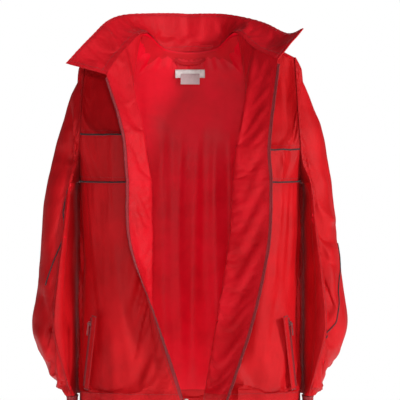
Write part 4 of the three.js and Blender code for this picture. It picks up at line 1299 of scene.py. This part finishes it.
def panel_point(name, u, v):
    rows = front_rows(SIDES[name])[2:]
    return woven_grid(rows, [u], [v])[0, 0]


POCKET_TOP, POCKET_FOOT = (0.36, 0.47), (0.27, 0.72)
POCKET_LENGTH = 140
POCKET_TAPE = 4  # its width
WELT = (14, 152)
WELT_BESIDE = 2.8  # from the middle of the zip to the welt
WELT_HEIGHT = 7  # of the welt's underside above the front
WELT_CHANNEL = 0.36  # where its two lines of stitches run, as a share of its width
BAG_ACROSS, BAG_DOWN = (0.2, 0.5), (0.45, 0.74)
TACK = (11, 4.5, 0.55)  # its width, how far past the zip it lies, and the step between its strands


def grid_lines(places, shares):
    """The grid's lines that lie nearest to these shares of its width or height."""
    return [int(round(np.interp(share, places, np.arange(len(places))))) for share in shares]


def pocket_frame(name, sign):
    """Where a pocket's zip lies: its foot and its ways across, out and up."""
    foot, top = panel_point(name, *POCKET_FOOT), panel_point(name, *POCKET_TOP)
    up = (top - foot) / np.linalg.norm(top - foot)
    u, v = ((a + b) / 2 for a, b in zip(POCKET_TOP, POCKET_FOOT))
    along = panel_point(name, u + NUDGE, v) - panel_point(name, u - NUDGE, v)
    down = panel_point(name, u, v + NUDGE) - panel_point(name, u, v - NUDGE)
    out = np.cross(along, down) * sign
    across = np.cross(out, up)
    across /= np.linalg.norm(across)
    return foot, across, np.cross(up, across), up


def sew_pocket(name, sign):
    """A slanting pocket: a padded welt beside a coil zip, with a bar tack at each end."""
    foot, across, out, up = pocket_frame(name, sign)
    body = f"{name}_front"
    width, length = WELT
    s, t = np.linspace(-0.5, 0.5, 15)[None, :], np.linspace(-0.5, 0.5, 77)[:, None]
    crown = np.sqrt(np.clip(1 - (2 * s) ** 4, 0, 1)) * np.sqrt(np.clip(1 - (2 * t) ** 30, 0, 1))
    channel = np.exp(-((np.abs(s) - WELT_CHANNEL) / 0.05) ** 2)
    swell = 1.3 * crown - 0.5 * channel * crown + 0.12 * rumple(s * 30, t * 300, 3, 9, 41)
    centre = sign * (WELT_BESIDE + width / 2)
    place = lambda a, b, c: foot + (across * a[..., None] + out * b[..., None] + up * c[..., None]) * MM
    x = np.broadcast_to(centre + s * width, swell.shape)
    z = np.broadcast_to(POCKET_LENGTH / 2 + t * length, swell.shape)
    upper, lower = place(x, WELT_HEIGHT + swell, z), place(x, WELT_HEIGHT - 0.5 * crown, z)
    mesh = closed_cloth(upper, lower, ("start", "end", "top", "bottom"))
    piece = sewn(f"{name}_pocket_welt", mesh, TAFFETA, body=body)
    cut_from(piece, upper, held="folded")
    strip = np.linspace(-POCKET_TAPE / 2, POCKET_TAPE / 2, 5)[None, :] + np.zeros((71, 1))
    tall = np.linspace(0, POCKET_LENGTH, 71)[:, None] + np.zeros((1, 5))
    tape = place(strip, np.full(strip.shape, WELT_HEIGHT - 0.1), tall)
    piece = sewn(f"{name}_pocket_zip_chain", closed_cloth(tape, tape - out * 0.8 * MM), TAPE, body=body)
    cut_from(piece, tape, held="stretched")
    flat_row = lambda value, count=40: np.full(count, float(value))
    line = lambda x, y, past: place(flat_row(x), flat_row(y), np.linspace(-past, POCKET_LENGTH + past, 40))
    teeth = [line(beside, WELT_HEIGHT + 0.3, -1) for beside in (-0.8, 0.8)]
    repeated(f"{name}_pocket_zip_coil", TEETH, teeth, (1.7, 1.1, 1.3), COIL, body=body)
    edge = [line(centre + WELT_CHANNEL * width * way, WELT_HEIGHT + 1, 3) for way in (-1, 1)]
    tack_width, tack_past, tack_step = TACK
    ends = np.linspace(-tack_width / 2, tack_width / 2, 6)
    tacks = []
    for height in (-tack_past, POCKET_LENGTH + tack_past):
        for k in range(-2, 3):
            level = flat_row(height + tack_step * k, 6)
            tacks.append(place(centre + ends, flat_row(WELT_HEIGHT + 1.2, 6), level))
    repeated(f"{name}_pocket_stitching", STITCHES, edge + tacks, TOPSTITCH, THREAD, body=body)

    grid = fronts[name]
    rows = tuple(CHEST_ROW + row for row in grid_lines(FRONT_BELOW, BAG_DOWN))
    columns = tuple(grid_lines(FRONT_ACROSS, BAG_ACROSS))
    mesh = layer(grid, sign, rows, columns, 2.2, 1.2)
    cut_from(sewn(f"{name}_pocket_bag", mesh, SATIN, body=body), part_of(grid, rows, columns))


# ---------------------------------------------------------------- nape

def panel_between(low, high, bulge, curl, columns=25, rows=13):
    """A small label in the box from low to high, bulging forward between its sewn corners."""
    s, t = np.linspace(-1, 1, columns)[None, :], np.linspace(0, 1, rows)[:, None]
    x = (low[0] + high[0]) / 2 + s * (high[0] - low[0]) / 2 + 0 * t
    z = high[2] - t * (high[2] - low[2]) + 0 * s
    y = (low[1] + high[1]) / 2 - (bulge * (1 - s**2) * t + curl * t**2 * s**2) * MM
    return np.stack([x, y, z], 2)


NECK_LABEL_THICK, CARE_LABEL_THICK = 0.6, 0.4
LOOP_THICK, LOOP_WIDTH = 1.2, 6.4


def two_sided(grid, thick, sewn_edges):
    """Cloth of this thickness, half on each side of a grid that faces out of the jacket."""
    half = facing_out(grid) * thick / 2 * MM
    return closed_cloth(grid + half, grid - half, sewn_edges)


def nape_fittings():
    low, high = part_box("neck_label")
    grid = panel_between(low, high, 0.8, 0.5, 41, 13)
    mesh = two_sided(grid, NECK_LABEL_THICK, ("top", "bottom", "start", "end"))
    cut_from(sewn("neck_label", mesh, LABEL, body="torso"), grid)
    edge = grid - facing_out(grid) * 0.75 * NECK_LABEL_THICK * MM
    lines = [edge[1, 1:-1], edge[-2, 1:-1], edge[1:-1, 1], edge[1:-1, -2]]
    repeated("neck_label_stitching", STITCHES, lines, (2.2, 1.7, 0.4), THREAD, body="torso")
    low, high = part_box("care_label")
    grid = panel_between(low, high, 0.6, -0.9, 31, 17)
    mesh = two_sided(grid, CARE_LABEL_THICK, ("top",))
    cut_from(sewn("care_label", mesh, CARE_LABEL, body="care_label"), grid)

    low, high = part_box("hang_loop")
    share = np.linspace(0, 1, 61)
    sag = np.interp(share, np.linspace(0, 1, 9), [0, 0.55, 0.85, 0.97, 1, 0.97, 0.85, 0.55, 0])
    x = low.x + (high.x - low.x) * share
    z = high.z - 3.5 * MM - (high.z - low.z - 7 * MM) * sag
    y = (low.y + high.y) / 2 - 0.8 * MM * np.sin(math.pi * share)
    across = np.linspace(-1, 1, 7)[:, None] * LOOP_WIDTH / 2 * MM
    grid = np.stack([x + 0 * across, y + 0.12 * across + 0 * x, z + across], 2)
    mesh = two_sided(grid, LOOP_THICK, ("top", "bottom"))
    cut_from(sewn("hang_loop", mesh, FACING_TAFFETA, body="hang_loop"), grid, held="folded")


for name, side in SIDES.items():
    close_armhole(name, side["sign"])
    zip_tapes(name, side["sign"])
    sew_pocket(name, side["sign"])
lay_pipings()
sew()
nape_fittings()
pocket_metal = [f"{name}_pocket_{part}" for name in SIDES for part in ("slider", "pull")]
for node in ("zip_box", "zip_pin", "zip_slider", "zip_pull", *pocket_metal):
    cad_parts[node].material_slots[0].material = NICKEL


# ---------------------------------------------------------------- studio

WORLD_LIGHT = 0.1  # what the white surroundings add, as against what the camera sees of them
FLOOR_GLOW = 0.75
FLOOR = -1.4  # metres
FLOOR_HALF = 6  # metres


def soft_light(name, place, aim, size, power, colour=(1, 1, 1)):
    lamp = bpy.data.lights.new(name, "AREA")
    lamp.shape, lamp.size, lamp.energy, lamp.color = "DISK", size, power, colour
    light = bpy.data.objects.new(name, lamp)
    light.location = place
    way = np.array(aim, float) - place
    light.rotation_euler = Vector(way).to_track_quat("-Z", "Y").to_euler()
    bpy.context.scene.collection.objects.link(light)


# Painted board: pale and matt, and lit a little from within, so that it stays a plain ground.
PALE_FLOOR = plain_finish("pale_floor", ("#e9e7e4", "#f0efec"), 40, (0.6, 0.7), 0.05, {
    "IOR": 1.45, "Emission Color": (1, 1, 1, 1), "Emission Strength": FLOOR_GLOW,
})


def studio():
    world = bpy.data.worlds.new("studio")
    world.use_nodes = True
    bpy.context.scene.world = world
    tree = world.node_tree
    back_light = tree.nodes["Background"]
    back_light.inputs["Color"].default_value = (1, 1, 1, 1)
    path = add(tree, "ShaderNodeLightPath")
    strength = add(tree, "ShaderNodeMapRange", {
        "Value": path.outputs["Is Camera Ray"], "To Min": WORLD_LIGHT, "To Max": 1.0,
    })
    tree.links.new(strength.outputs["Result"], back_light.inputs["Strength"])
    x, y = np.meshgrid([-FLOOR_HALF, FLOOR_HALF], [-FLOOR_HALF, FLOOR_HALF])
    corners = np.stack([x, y, np.full((2, 2), FLOOR)], 2).astype(float)
    floor = bpy.data.objects.new("floor", grid_mesh("floor", corners))
    bpy.context.scene.collection.objects.link(floor)
    floor.data.materials.append(PALE_FLOOR)
    soft_light("key", (3.2, -2.7, 1.0), (0.05, 0, -0.3), 0.8, 120)
    soft_light("front", (0.1, -4.6, 0.5), (0, 0, -0.35), 0.6, 44)
    soft_light("fill", (-2.4, -3.4, 0.6), (0, 0, -0.3), 2.0, 3)
    soft_light("crown", (0.2, -0.9, 2.4), (0, 0, -0.3), 1.2, 6)
    soft_light("behind", (0.6, 3.0, 1.4), (0, 0, -0.3), 1.8, 40)


bpy.context.scene.view_settings.view_transform = "Standard"
studio()
